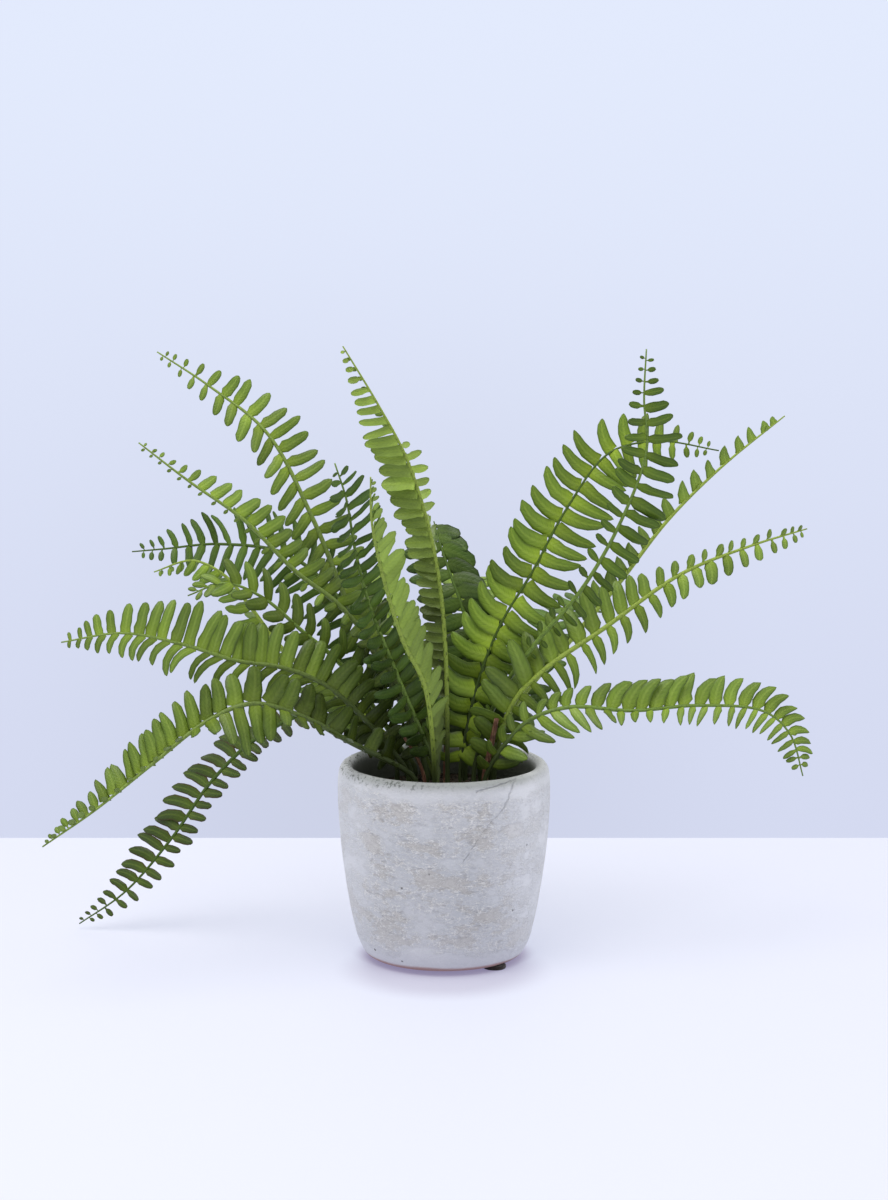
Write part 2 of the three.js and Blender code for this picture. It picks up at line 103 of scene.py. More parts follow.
# The fronds, in the order in which they find their place: those that show most come first.
# rib: its points in millimetres, from the foot in the soil to the tip. face: where the upper side
# looks, low down and at the tip. What follows is one value, or one for the left leaflets and one
# for the right, and each of these may be several, in even steps from low down to the tip.
# In degrees: fold and sweep are how far the leaflets rise from the rib's plane and lean to the
# tip, curl and droop how far they bend towards the tip and away from the upper side, and roll is
# their turn about their own line.
# In millimetres: blade and width are the length and width of a full leaflet, spacing is from one
# to the next, and bare is the length of the stalk without leaflets.
# As shares: stout is the largest width for a leaflet's length, taper and root what it keeps of
# its width near its end and at its root, growth how fast the buds at the tip grow into leaflets
# for each length down the rib, stalked how far these buds stand on stalks, and the painted shade
# how much darker the leaflets are made, from low down to the tip, where shade falls among the
# fronds; below zero it makes them lighter.
FRONDS = {
    "frond_right_broad": frond(
        rib=[(9, 9), (18, 9, 152), (31, 11, 187), (50, 13, 219), (69, 16, 254), (93, 20, 285),
             (121, 24, 291), (156, 30, 285)],
        face=((-0.15, -1, 0.1), (0, -1, 0.2)), fold=4, sweep=((-26, -24, 0), (-40, -14, 0)),
        curl=((86, 80, 8), (54, 40, 8)), droop=(14, 18), blade=24.5,
        width=((10, 9.2, 5), (9.2, 8.2, 4.6)), taper=0.7, root=1.08, growth=0.24, spacing=9.2,
        bare=36, dim=(0.1, 0.14, 0.14), tone="bright", rib_tone="deep", rib_scale=0.55,
    ),
    "frond_front": frond(
        rib=[(-5, -26), (-10, -54, 164), (-22, -77, 195), (-32, -104, 234), (-37, -130, 266),
             (-37, -148, 291)],
        face=((-0.3, 1, 0.6), (-0.2, 1, 0.6)), fold=((50, 40, 20), (110, 130)), sweep=28, curl=10,
        droop=12, roll=(24, 6), blade=((13, 17, 17), 17), width=10.4, root=1.1, growth=0.13,
        spacing=7.8, bare=28, dim=(0.95, 0.5, 0, -0.1, 0), tone="bright", rib_scale=0.85,
    ),
    "frond_tall": frond(
        rib=[(2, 3), (1, -8, 172), (-2, -20, 213), (-8, -30, 248), (-20, -42, 288), (-35, -52, 318),
             (-54, -62, 351)],
        face=((0.2, 1, 0.3), (0.3, 1, 0.3)),
        fold=((110, 120, 130, 130, 134, 112, 92, 48, 142, 150, 150), (14, 6)), sweep=(-20, (-6, 2)),
        curl=(10, 10), droop=(12, 16), roll=(6, 36),
        blade=((15, 18, 18, 12.5, 8.5, 4), (12, 12, 12, 12, 13, 14.5, 17.5, 20.5, 20, 16, 11.5)),
        width=((8.4, 8.4, 8.4, 5, 4, 4), (8.8, 10, 10.4, 9.8, 4.6, 4)), stout=0.42,
        taper=(0.7, 0.92), root=1.05, growth=0.22, spacing=(7.8, (6.2, 5.4, 6.2, 7.4)), bare=46,
        dim=(0.95, 1, 0.6, 0, -0.05, 0.1), tone="bright", rib_scale=0.85,
    ),
    "frond_right_middle": frond(
        rib=[(28, -3), (38, -7, 146), (56, -7, 166), (89, 0, 188), (133, 18, 216), (175, 42, 229),
             (211, 66, 236)],
        face=((-0.1, -1, 0.5), (0, -1, 0.2)), fold=((16, 12, 30, 40), 10),
        sweep=((24, 14, 44, 60), (10, -4)), curl=(-12, (-56, -56, -10)), droop=((20, 30), 20),
        roll=(10, (30, 20, 4)), blade=((23, 27, 23, 9.5, 7.5, 5), (22, 22, 18.5, 14.5, 11, 7)),
        width=((9.2, 8.8, 6.6, 5.4), (5.4, 5, 5.4, 7.2, 4.4)), stout=0.48,
        taper=(0.84, (0.5, 0.5, 0.6, 0.95, 0.95)), growth=0.4, spacing=(9.4, (9, 9, 10.8, 11.2)),
        bare=38, dim=(0.4, 0.12, -0.05, -0.1),
    ),
    "frond_right_low": frond(
        rib=[(23, -15), (44, -22, 138), (68, -24, 148), (104, -18, 145), (143, -8, 146),
             (181, 4, 140), (196, 8, 126), (204, 10, 101)],
        face=((0, -0.8, 0.7), (0.4, -0.9, 0.3)), fold=((20, 6), (10, 10, 50, 30, 8, 8)),
        sweep=((10, 0), (30, 30, -30, -34, 0)), curl=(58, (10, 14)), droop=(12, 20),
        blade=((14, 12, 10, 14, 21.5, 21.5, 20.5, 19.5, 17, 14.5, 13),
               (21, 24, 12.5, 13, 14.5, 13)),
        width=((8.2, 8.4, 9.2, 9.2, 6.8, 3), (6.2, 4.4, 3)), stout=0.44,
        taper=(0.66, (0.8, 0.55, 0.75)), growth=0.5,
        spacing=((9, 8.4, 8.4, 8.4, 7, 4.6), (10, 8.8, 5)), bare=34, dim=(0.5, 0.12, -0.05, -0.05),
        rib_tone="mid", rib_scale=0.85,
    ),
    "frond_left_level": frond(
        rib=[(-20, -8), (-61, -22, 157), (-87, -30, 171), (-114, -38, 177), (-144, -47, 188),
             (-174, -55, 195), (-207, -62, 191)],
        face=((0.2, -1, 0.5), (0, -1, 0.1)), fold=(2, 8), sweep=(62, 4), curl=(-84, -14),
        droop=(18, 14), roll=(16, 4), blade=((17, 23, 21, 14), (16, 22, 24.5, 24.5)),
        width=((4.8, 4), (7.8, 8.2, 6.6, 5.2)), taper=(0.84, 0.94), root=(0.66, 0.98), growth=0.36,
        stalked=0.25, spacing=((7.4, 7.4), (7.6, 6.6)), bare=42, dim=(1.1, 0.45, 0.02, -0.03),
        rib_tone="fading",
    ),
    "frond_left_drooping": frond(
        rib=[(-16, -19), (-53, -33, 131), (-76, -43, 146), (-104, -54, 156), (-127, -64, 149),
             (-157, -76, 127), (-186, -88, 105), (-214, -100, 87)],
        face=((0.3, -0.7, 0.8), (-0.1, -0.35, 1)),
        fold=((50, 50, 20, -60, 60, 92, 96, 84), (34, 50, 50)),
        sweep=((0, 0, 0, 20, 24, 24), (6, -16, -26, -28, -6)), curl=((-10, 10), 6), droop=(10, 18),
        roll=(4, 12), blade=((8, 9, 12, 27, 8, 4, 5, 12), (16, 20, 19.5, 17.5)),
        width=((9.2, 9, 5.6, 5), (10.6, 10.4, 7.4, 6)), stout=0.5,
        taper=(0.94, (0.94, 0.92, 0.78, 0.66)), root=(0.9, 1.1),
        spacing=((10.4, 7.2), (11.6, 10, 6, 5.8)), bare=46, dim=(1.1, 0.6, 0.18, 0.12),
        rib_tone="fading",
    ),
    "frond_left_trailing": frond(
        rib=[(-27, 15), (-71, 30, 134), (-106, 38, 119), (-134, 44, 92), (-159, 48, 56),
             (-187, 52, 23), (-215, 53, 3)],
        face=((0, -0.5, 1), (-0.3, -0.9, 0.4)), fold=10, sweep=(-24, 6), curl=(0, 40),
        droop=(12, 26), blade=((13.5, 12.5), 21), width=6.6, growth=0.24, spacing=8.2, bare=48,
        dim=(0.3, 0, -0.1), tone="trailing", rib_tone="deep", rib_scale=0.85,
    ),
    "frond_upper_left": frond(
        rib=[(-5, 17), (-28, 24, 149), (-53, 34, 193), (-75, 42, 245), (-101, 50, 293),
             (-134, 58, 319), (-165, 62, 339)],
        face=((0.3, -1, 0.3), (0.1, -1, 0.2)), fold=(14, 10),
        sweep=((-62, -44, -32, -12), (-20, -6)), curl=(8, 20), droop=(14, 14),
        blade=((14, 18, 18.5, 17.5), 20), growth=0.18, spacing=9.6,
        dim=(0.95, 0.7, 0.22, 0.08, 0.05), rib_tone="fading", rib_scale=1.1,
    ),
    "frond_left_second": frond(
        rib=[(-10, 6), (-30, 6, 162), (-57, 5, 199), (-83, 4, 220), (-111, 1, 249), (-142, -3, 272),
             (-169, -8, 294)],
        face=((0.1, -1, 0.5), (0.2, -0.7, 0.8)), fold=((20, 50, -50, -60), 14),
        sweep=((0, 10), -28), curl=10, droop=(14, (84, 66, 26, 10)),
        blade=((19, 16, 8, 4, 3), 18.5), width=((7.6, 6, 2), 8), root=0.85, growth=0.17,
        spacing=((11.6, 7.2), (11, 6.8)), bare=42, dim=(0.9, 0.65, 0.2, -0.05, -0.05),
        rib_tone="fading", rib_scale=1.1,
    ),
    "frond_right_upright": frond(
        rib=[(17, 5), (30, 1, 148), (51, -8, 181), (76, -17, 213), (96, -25, 250), (110, -33, 292),
             (108, -38, 320), (109, -38, 348)],
        face=((0, -1, 0.3), (0.1, -1, 0)), fold=(12, 14), sweep=((24, 0), (-24, 0)), curl=(16, 10),
        droop=14, roll=(6, 16),
        blade=((6, 6, 7, 8, 9, 10, 11, 15, 13.5, 6.5, 3), (5, 5, 13, 21, 19.5, 9)),
        width=((7.2, 6.6, 5), (7.2, 8.2, 4.4)), taper=(0.86, (0.86, 0.95, 0.9)), growth=0.3,
        spacing=((10.4, 10.4, 7.4), (10.4, 9.4, 7.4)), bare=64, dim=(0.4, 0.24, 0.04, 0),
        tone="dusky", rib_tone="mid", rib_scale=0.85,
    ),
    "frond_right_folded": frond(
        rib=[(21, 23), (43, 37, 140), (73, 54, 172), (101, 70, 202), (131, 86, 238),
             (164, 102, 268), (203, 118, 297)],
        face=((-0.3, -0.5, 1), (-0.4, -0.3, 1)), fold=(92, 75), sweep=(8, 28), curl=((34, 20), 0),
        droop=(16, 6), blade=((16, 13.5, 10), 3), width=((10.4, 8.4, 5.2), 2), stout=0.8, taper=0.5,
        root=1.2, growth=0.27, stalked=0, spacing=((12.4, 10.8), 60), bare=54, dim=(0.5, 0, -0.4),
    ),
    "frond_left_small": frond(
        rib=[(-17, 18), (-60, 22, 146), (-91, 26, 171), (-111, 29, 197), (-124, 31, 213),
             (-143, 33, 222), (-166, 34, 215)],
        face=((0.2, -0.6, 0.8), (0.1, -0.3, 1)), fold=((-46, -60), (60, -64, -70)), sweep=10,
        curl=(30, 20), blade=(15, 13), width=5.2, growth=0.3, spacing=8.4, bare=56,
        dim=(0.5, 0.1, -0.25, -0.35), rib_scale=1.1,
    ),
    "frond_left_dark": frond(
        rib=[(-7, 28), (-29, 42, 145), (-55, 62, 188), (-90, 80, 218), (-132, 94, 223),
             (-166, 102, 219), (-186, 104, 217)],
        face=((0.2, -0.7, 0.8), (0, -0.8, 0.6)), fold=(8, 30), sweep=(4, 10), curl=(-10, 30),
        roll=(40, 48), blade=24, width=4.8, growth=0.3, spacing=8.4, bare=44, dim=(0.5, 0.1, 0.05),
        tone="deep", rib_tone="deep",
    ),
    "frond_centre_dark": frond(
        rib=[(-4, -9), (-26, -22, 166), (-40, -36, 205), (-48, -51, 240), (-52, -66, 269),
             (-58, -74, 290)],
        face=((0.5, -0.8, 0.4), (0.6, -0.7, 0.3)), fold=(20, 34), sweep=(10, 16), roll=24,
        blade=(21, (21, 21, 19)), width=7.8, growth=0.65, spacing=8.2, bare=44, dim=(0.5, 0.08, 0),
        tone="deep", rib_tone="mid", rib_scale=0.85,
    ),
    "frond_centre_back": frond(
        rib=[(12, 19), (18, 28, 165), (10, 37, 196), (3, 46, 214), (-3, 56, 231), (-6, 70, 240)],
        face=((-0.3, -1, 0.3), (-0.1, -0.7, 0.7)), fold=(8, 20), sweep=(-6, (-10, -30)),
        curl=(18, -30), blade=(23, (22, 21, 20)), width=(8.4, 10.4), stout=0.5, growth=1.4,
        dim=(0.8, 0.5, 0.4), tone="deep", rib_tone="deep",
    ),
    "frond_left_inner": frond(
        rib=[(-19, 5), (-56, -6, 167), (-79, -12, 189), (-101, -17, 209), (-121, -20, 217),
             (-142, -22, 210)],
        face=((0.3, -0.8, 0.6), (0.1, -0.5, 0.9)), fold=(10, (30, 60)), sweep=((8, 30), (4, 40)),
        curl=30, droop=30, roll=22, blade=18, width=7, growth=0.5, spacing=10.4, bare=42,
        dim=(0.8, 0.45, 0.15), rib_tone="mid",
    ),
    "frond_back_middle": frond(
        rib=[(10, 31), (12, 54, 167), (13, 76, 192), (14, 100, 201), (15, 124, 185),
             (18, 150, 156)],
        face=((0.1, -1, 0.3), (0.1, 0.6, 1)), fold=(16, 16), bare=46, tone="bright",
    ),
    "frond_back_right": frond(
        rib=[(27, 33), (56, 72, 163), (72, 98, 183), (88, 122, 185), (101, 146, 169)],
        face=((-0.5, -1, 0.3), (0.3, 0.4, 1)), fold=(14, 18), blade=19, bare=44, tone="deep",
        rib_tone="mid",
    ),
    "frond_back_left": frond(
        rib=[(-5, 40), (-25, 75, 169), (-43, 100, 195), (-60, 126, 197), (-70, 150, 181)],
        face=((0.4, -1, 0.3), (-0.3, 0.5, 1)), fold=(18, 14), blade=19, bare=44, rib_tone="mid",
    ),
}
FOOT_HEIGHT = 0.078  # where a stalk ends in the soil
UPRIGHT_HEIGHTS = (0.098, 0.106)  # a stalk stands upright up to these

# The old brown stubs: foot, top, and the radius at each
STUBS = {
    "stub_middle": dict(foot=(0.001, 0.013), top=(0.002, 0.012, 0.143), radii=(0.0019, 0.0011)),
    "stub_right": dict(
        foot=(0.023, -0.0075), top=(0.0295, -0.0105, 0.139), radii=(0.0021, 0.0014)
    ),
    "stub_left": dict(foot=(-0.011, -0.017), top=(-0.022, -0.02, 0.13), radii=(0.0013, 0.0008)),
}
STUB_BEND = (0.35, 0.118)  # share of the way to the top, and height
STUB_STEPS = 26
STUB_KNOBS = 0.13  # how far the radius strays

# The pot's section as radius and height: up the belly, over the lip and down the inner wall
POT_SECTION = [
    (0.042, 0.0023), (0.0448, 0.0038), (0.0472, 0.008), (0.0496, 0.014), (0.0529, 0.028),
    (0.0563, 0.049), (0.0586, 0.068), (0.06, 0.091), (0.0598, 0.104), (0.0589, 0.109),
    (0.0571, 0.1116), (0.0552, 0.1123), (0.053, 0.1115), (0.0514, 0.1092), (0.0506, 0.104),
    (0.0485, 0.056), (0.0464, 0.009),
]
POT_STEP = 0.0016  # from one ring of faces to the next
POT_WIDEST = 0.06
POT_TOP = 0.1123
MOUTH = 0.051  # radius of the inner wall below the lip

# Where the pot's coat is worn most in front: place, and half the width of the spot
WORN_SPOTS = [
    ((-0.020, -0.056, 0.096), 0.014), ((-0.021, -0.055, 0.078), 0.013),
    ((-0.038, -0.043, 0.077), 0.011), ((-0.034, -0.043, 0.059), 0.014),
    ((-0.007, -0.056, 0.062), 0.014), ((0.019, -0.056, 0.096), 0.012),
    ((0.020, -0.055, 0.078), 0.011), ((-0.021, -0.047, 0.024), 0.012),
    ((0.033, -0.040, 0.044), 0.012),
]

# The hairline cracks in front: their ends, seen from the front, and their width
CRACKS = [
    ((0.0393, 0, 0.1112), (0.0333, 0, 0.0977), 0.0009),
    ((0.0333, 0, 0.0977), (0.0224, 0, 0.0859), 0.0007),
    ((0.0224, 0, 0.0859), (0.0104, 0, 0.0684), 0.0004),
    ((0.0393, 0, 0.1112), (0.0180, 0, 0.1072), 0.0008),
]

# Linear colours of the marks on the pot, and how strongly each shows
POT_MARKS = {
    "strokes": ((0.88, 0.87, 0.86), 0.75),
    "shadows": ((0.24, 0.23, 0.23), 0.35),
    # painted light on the pot's sides and bottom
    "painted_light": ((0.86, 0.87, 0.91), 0.6),
    "soot": ((0.10, 0.11, 0.10), 0.85),
    "pits": ((0.06, 0.055, 0.05), 0.85),
    "cracks": ((0.16, 0.16, 0.17), 0.38),
}

# The soil's section: across the bottom, up beside the wall, and over the low crown
SOIL_SECTION = [(0.0459, 0.0093), (0.0497, 0.0945), (0.03, 0.0966)]
SOIL_CROWN = 0.0975
SOIL_RINGS, SOIL_SIDES = 26, 96

PAD_RADIUS = 0.0065

# Linear colours of the leaves: blade, near the root, vein, cut edge and underside
LEAF_PARTS = ("Blade", "Root", "Vein", "Edge", "Underside")
# The tones are partly own colours, partly painted light and shade: bright lit, deep in shade
LEAF_COLOURS = {
    "bright": ((0.150, 0.240, 0.028), (0.262, 0.376, 0.026), (0.280, 0.390, 0.052),
               (0.026, 0.050, 0.007), (0.272, 0.384, 0.070)),
    "mid": ((0.138, 0.216, 0.031), (0.220, 0.318, 0.030), (0.250, 0.345, 0.062),
            (0.020, 0.042, 0.008), (0.225, 0.326, 0.070)),
    "dusky": ((0.080, 0.140, 0.015), (0.132, 0.204, 0.013), (0.156, 0.234, 0.028),
              (0.012, 0.026, 0.005), (0.140, 0.205, 0.026)),
    "deep": ((0.076, 0.139, 0.025), (0.108, 0.182, 0.022), (0.130, 0.206, 0.036),
             (0.012, 0.030, 0.008), (0.112, 0.185, 0.032)),
    "trailing": ((0.038, 0.068, 0.009), (0.066, 0.106, 0.009), (0.100, 0.150, 0.020),
                 (0.044, 0.014, 0.006), (0.058, 0.096, 0.016)),
}
# Linear colours of the ribs, and the share of the way from the foot up to which they are darker
# Like the leaves' tones, these are partly own colours and partly painted light and shade
RIB_COLOURS = {
    "bright": ((0.260, 0.350, 0.050), 0.30),
    "fading": ((0.190, 0.275, 0.050), 0.85),
    "mid": ((0.150, 0.235, 0.040), 0.40),
    "deep": ((0.062, 0.112, 0.012), 0.40),
}
RIB_FOOT_COLOUR = (0.036, 0.052, 0.016)
LEAF_SLOTS = {
    "bright": "leaf_bright", "mid": "leaf_mid", "dusky": "leaf_mid", "deep": "leaf_deep",
    "trailing": "leaf_deep",
}

ROWS, COLUMNS = 7, 4  # of faces along and across a leaflet
RIB_SIDES = 8
RIB_STEP = 0.004
NEEDLE = 0.003  # the bare end of a frond
RIB_TIP_RADIUS = 0.0004

TABLE_HALF = 5.0  # half the side of the table
SOFTBOX_PLACE = (-0.22, -0.40, 1.5)
SOFTBOX_AIM = (0, 0, 0.15)


def colour_setting(name, default, description):
    return FloatVectorProperty(
        name=name, description=description, subtype="COLOR", size=4, min=0, max=1,
        default=(*default, 1),
    )


def length_setting(name, default, description, smallest=0.0):
    return FloatProperty(
        name=name, description=description, unit="LENGTH", precision=4, min=smallest,
        default=default,
    )


def share_setting(name, default, description):
    return FloatProperty(name=name, description=description, min=0, max=1, default=default)


def count_setting(name, default, description, smallest=0):
    return IntProperty(name=name, description=description, min=smallest, default=default)


class PotSettings(bpy.types.PropertyGroup):
    """The cement pot."""

    sides: count_setting("Sides", 224, "Faces round the pot", 24)
    unevenness: length_setting("Unevenness", 0.0003, "How far the hand-cast wall strays")
    whitewash: colour_setting("Whitewash", (0.568, 0.578, 0.610), "The pale coat")
    cool: colour_setting("Cool whitewash", (0.535, 0.550, 0.585), "The greyer parts of the coat")
    worn: colour_setting("Worn cement", (0.50, 0.48, 0.46), "Cement where the coat is gone")
    rim: colour_setting("Rim", (0.28, 0.295, 0.29), "The greenish rim")
    # The inside colour is mostly painted shade on the bare wall
    inside: colour_setting("Inside", (0.105, 0.115, 0.095), "The bare wall inside")
    foot: colour_setting("Foot", (0.42, 0.27, 0.25), "The stained edge of the base")


class SoilSettings(bpy.types.PropertyGroup):
    """The soil in the pot."""

    unevenness: length_setting("Unevenness", 0.0016, "How far the surface strays")
    crumbs: count_setting("Crumbs", 420, "Loose crumbs on the surface")
    dark: colour_setting("Dark", (0.018, 0.014, 0.010), "Moist soil")
    light: colour_setting("Light", (0.085, 0.062, 0.042), "Dry crumbs")


class PadSettings(bpy.types.PropertyGroup):
    """The felt pads."""

    rounding: length_setting("Rounding", 0.0006, "Radius of the pads' edges")
    felt: colour_setting("Felt", (0.020, 0.014, 0.013), "Dark felt")
    fibres: colour_setting("Fibres", (0.09, 0.07, 0.065), "The fuzz of lighter fibres")


class StubSettings(bpy.types.PropertyGroup):
    """The old cut stalks."""

    sides: count_setting("Sides", 14, "Faces round a stub", 6)
    bark: colour_setting("Bark", (0.110, 0.045, 0.026), "Dry reddish brown")
    streak: colour_setting("Streak", (0.240, 0.150, 0.080), "Paler streaks")
    crust: colour_setting("Crust", (0.03, 0.014, 0.01), "Dark rings and specks")


class FrondSettings(bpy.types.PropertyGroup):
    """The fronds and their leaflets."""

    tip_spacing: length_setting("Tip spacing", 0.0047, "From one bud to the next", 0.001)
    tip_reach: length_setting("Tip reach", 0.038, "How far the closer spacing reaches", 0.001)
    tip_size: length_setting("Tip size", 0.0024, "Length of the last buds", 0.001)
    low_width: length_setting("Low width", 0.001, "How much wider the lowest leaflets are")
    thickness: length_setting("Thickness", 0.0005, "Thickness of a leaflet", 0.0002)
    cupping: share_setting("Cupping", 0.14, "How far the halves of a leaflet swell")
    rib_radius: length_setting("Rib radius", 0.0016, "Radius of the rib at its foot", 0.0002)
    spread: share_setting("Spread", 0.08, "Random share of a leaflet's length")


class StageSettings(bpy.types.PropertyGroup):
    """The camera, the lights, the table and the backdrop."""

    distance: length_setting("Distance", 1.6, "From the pot's axis to the camera")
    height: length_setting("Height", 0.457, "Height of the camera")
    down: FloatProperty(
        name="Down", description="How far the camera looks down", unit="ROTATION",
        default=math.radians(8.97),
    )
    lens: FloatProperty(
        name="Lens", description="Focal length", unit="CAMERA", min=1, default=86.94
    )
    table_end: length_setting("Table end", 0.28, "Where the table ends behind the pot")
    table: colour_setting("Table", (0.33, 0.33, 0.34), "The white table")
    table_cloud: colour_setting("Table cloud", (0.35, 0.35, 0.38), "Faint clouds in the white")
    table_glow: colour_setting("Table glow", (0.40, 0.425, 0.55), "Light the table gives off")
    table_shade: colour_setting("Table shade", (0.13, 0.10, 0.22), "That light by the pot")
    low: colour_setting("Backdrop low", (0.66, 0.70, 0.875), "The backdrop at the table")
    high: colour_setting("Backdrop high", (0.77, 0.83, 0.985), "The backdrop at the top")
    side_light: colour_setting("Side light", (0.97, 0.98, 1.0), "Light from the sides and behind")
    front_light: colour_setting("Front light", (0.42, 0.43, 0.46), "Light from in front")
    top_light: colour_setting("Top light", (0.90, 0.90, 0.90), "Light from above")
    power: FloatProperty(
        name="Power", description="Power of the softbox", unit="POWER", min=0, default=16
    )


class FernSettings(bpy.types.PropertyGroup):
    """All the settings."""

    pot: PointerProperty(type=PotSettings)
    soil: PointerProperty(type=SoilSettings)
    pads: PointerProperty(type=PadSettings)
    stubs: PointerProperty(type=StubSettings)
    fronds: PointerProperty(type=FrondSettings)
    stage: PointerProperty(type=StageSettings)


def mix(a, b, share):
    """What lies at a share of the way from a to b."""
    return a + (b - a) * share


def smooth_step(value, low, high):
    """A soft step from 0 at low to 1 at high, whichever is the larger."""
    share = min(max((value - low) / (high - low), 0.0), 1.0)
    return share * share * (3 - 2 * share)


class Curve:
    """A centripetal Catmull-Rom curve, measured along its length."""

    STEPS = 24  # in each stretch between two of its points

    def __init__(self, points):
        points = [Vector(p) for p in points]
        held = [2 * points[0] - points[1], *points, 2 * points[-1] - points[-2]]
        self.points = [points[0]]
        for four in zip(held, held[1:], held[2:], held[3:]):
            self.points += [self.between(*four, i / self.STEPS) for i in range(1, self.STEPS + 1)]
        self.lengths = [0.0]
        for a, b in zip(self.points, self.points[1:]):
            self.lengths.append(self.lengths[-1] + (b - a).length)
        self.length = self.lengths[-1]

    @staticmethod
    def between(a, b, c, d, share):
        """The point at a share of the way from b to c."""
        at_b = math.sqrt((b - a).length)
        at_c = at_b + math.sqrt((c - b).length)
        at_d = at_c + math.sqrt((d - c).length)
        place = mix(at_b, at_c, share)
        ab = mix(a, b, place / at_b)
        bc = mix(b, c, share)
        cd = mix(c, d, (place - at_c) / (at_d - at_c))
        abc = mix(ab, bc, place / at_c)
        bcd = mix(bc, cd, (place - at_b) / (at_d - at_b))
        return mix(abc, bcd, share)

    def at(self, along):
        """The point at a length along the curve."""
        along = min(max(along, 0.0), self.length)
        low, high = 0, len(self.lengths) - 1
        while high - low > 1:
            middle = (low + high) // 2
            if self.lengths[middle] <= along:
                low = middle
            else:
                high = middle
        share = (along - self.lengths[low]) / (self.lengths[high] - self.lengths[low])
        return mix(self.points[low], self.points[high], share)

    def direction(self, along):
        """The direction at a length along the curve."""
        step = self.length / 300
        return (self.at(along + step) - self.at(along - step)).normalized()


# A place on a rib or stub: the point, its direction, upper side, right side and radius
Place = namedtuple("Place", "at ahead up right radius")


def place_matrix(place):
    """Carries a unit circle about Z to the section at a place."""
    right, up = place.right * place.radius, place.up * place.radius
    columns = Matrix((right, up, place.ahead)).transposed()
    return Matrix.Translation(place.at) @ columns.to_4x4()


def sweep_tube(bm, places, sides, along_layer=None):
    """A closed tube through the places. The layer, if any, gets the share of the way."""
    ring = bmesh.ops.create_circle(bm, segments=sides, radius=1, cap_ends=True)["verts"]
    bmesh.ops.transform(bm, matrix=place_matrix(places[0]), verts=ring)
    edges = list(dict.fromkeys(edge for vert in ring for edge in vert.link_edges))
    made = list(ring)
    for i in range(1, len(places)):
        geometry = bmesh.ops.extrude_edge_only(bm, edges=edges)["geom"]
        ring = [part for part in geometry if isinstance(part, bmesh.types.BMVert)]
        fresh = set(ring)
        edges = [
            part for part in geometry
            if isinstance(part, bmesh.types.BMEdge) and fresh.issuperset(part.verts)
        ]
        move = place_matrix(places[i]) @ place_matrix(places[i - 1]).inverted()
        bmesh.ops.transform(bm, matrix=move, verts=ring)
        if along_layer is not None:
            for vert in ring:
                vert[along_layer] = i / (len(places) - 1)
        made += ring
    bmesh.ops.contextual_create(bm, geom=edges)
    faces = list(dict.fromkeys(face for vert in made for face in vert.link_faces))
    bmesh.ops.recalc_face_normals(bm, faces=faces)
    return made, faces


def spin_section(bm, section, steps):
    """Spins a line of points round the pot's axis to a closed surface."""
    verts = [bm.verts.new(point) for point in section]
    edges = [bm.edges.new(pair) for pair in zip(verts, verts[1:])]
    bmesh.ops.spin(
        bm, geom=verts + edges, axis=(0, 0, 1), angle=math.tau, steps=steps, use_merge=True
    )
    bmesh.ops.remove_doubles(bm, verts=bm.verts, dist=1e-6)
    bmesh.ops.recalc_face_normals(bm, faces=bm.faces)


def finish_mesh(bm, name):
    """Turns what was modelled into a mesh."""
    mesh = bpy.data.meshes.new(name)
    bm.to_mesh(mesh)
    bm.free()
    return mesh


def add_object(name, data):
    """An object that shows the data, in the scene."""
    made = bpy.data.objects.new(name, data)
    bpy.context.scene.collection.objects.link(made)
    return made


def finish_piece(bm, name, node, slot, materials):
    """Makes the piece that stands for a node of the frame."""
    for face in bm.faces:
        face.smooth = True
    mesh = finish_mesh(bm, name)
    for material in materials:
        mesh.materials.append(material)
    piece = add_object(name, mesh)
    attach(piece, BODY)
    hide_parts(node)
    return piece


class Output:
    """An output of a node. Sums and products with outputs and numbers add the nodes for them."""

    def __init__(self, nodes, socket):
        self.nodes = nodes
        self.socket = socket

    def __add__(self, other):
        return self.nodes.math("ADD", self, other)

    def __sub__(self, other):
        return self.nodes.math("SUBTRACT", self, other)

    def __rsub__(self, other):
        return self.nodes.math("SUBTRACT", other, self)

    def __mul__(self, other):
        return self.nodes.math("MULTIPLY", self, other)

    def __abs__(self):
        return self.nodes.math("ABSOLUTE", self)

    def larger(self, other):
        return self.nodes.math("MAXIMUM", self, other)

    def step(self, low, high):
        """A soft step from 0 at low to 1 at high."""
        ends = {"Value": self, "From Min": low, "From Max": high}
        return self.nodes.out("ShaderNodeMapRange", ends, "Result", interpolation_type="SMOOTHSTEP")


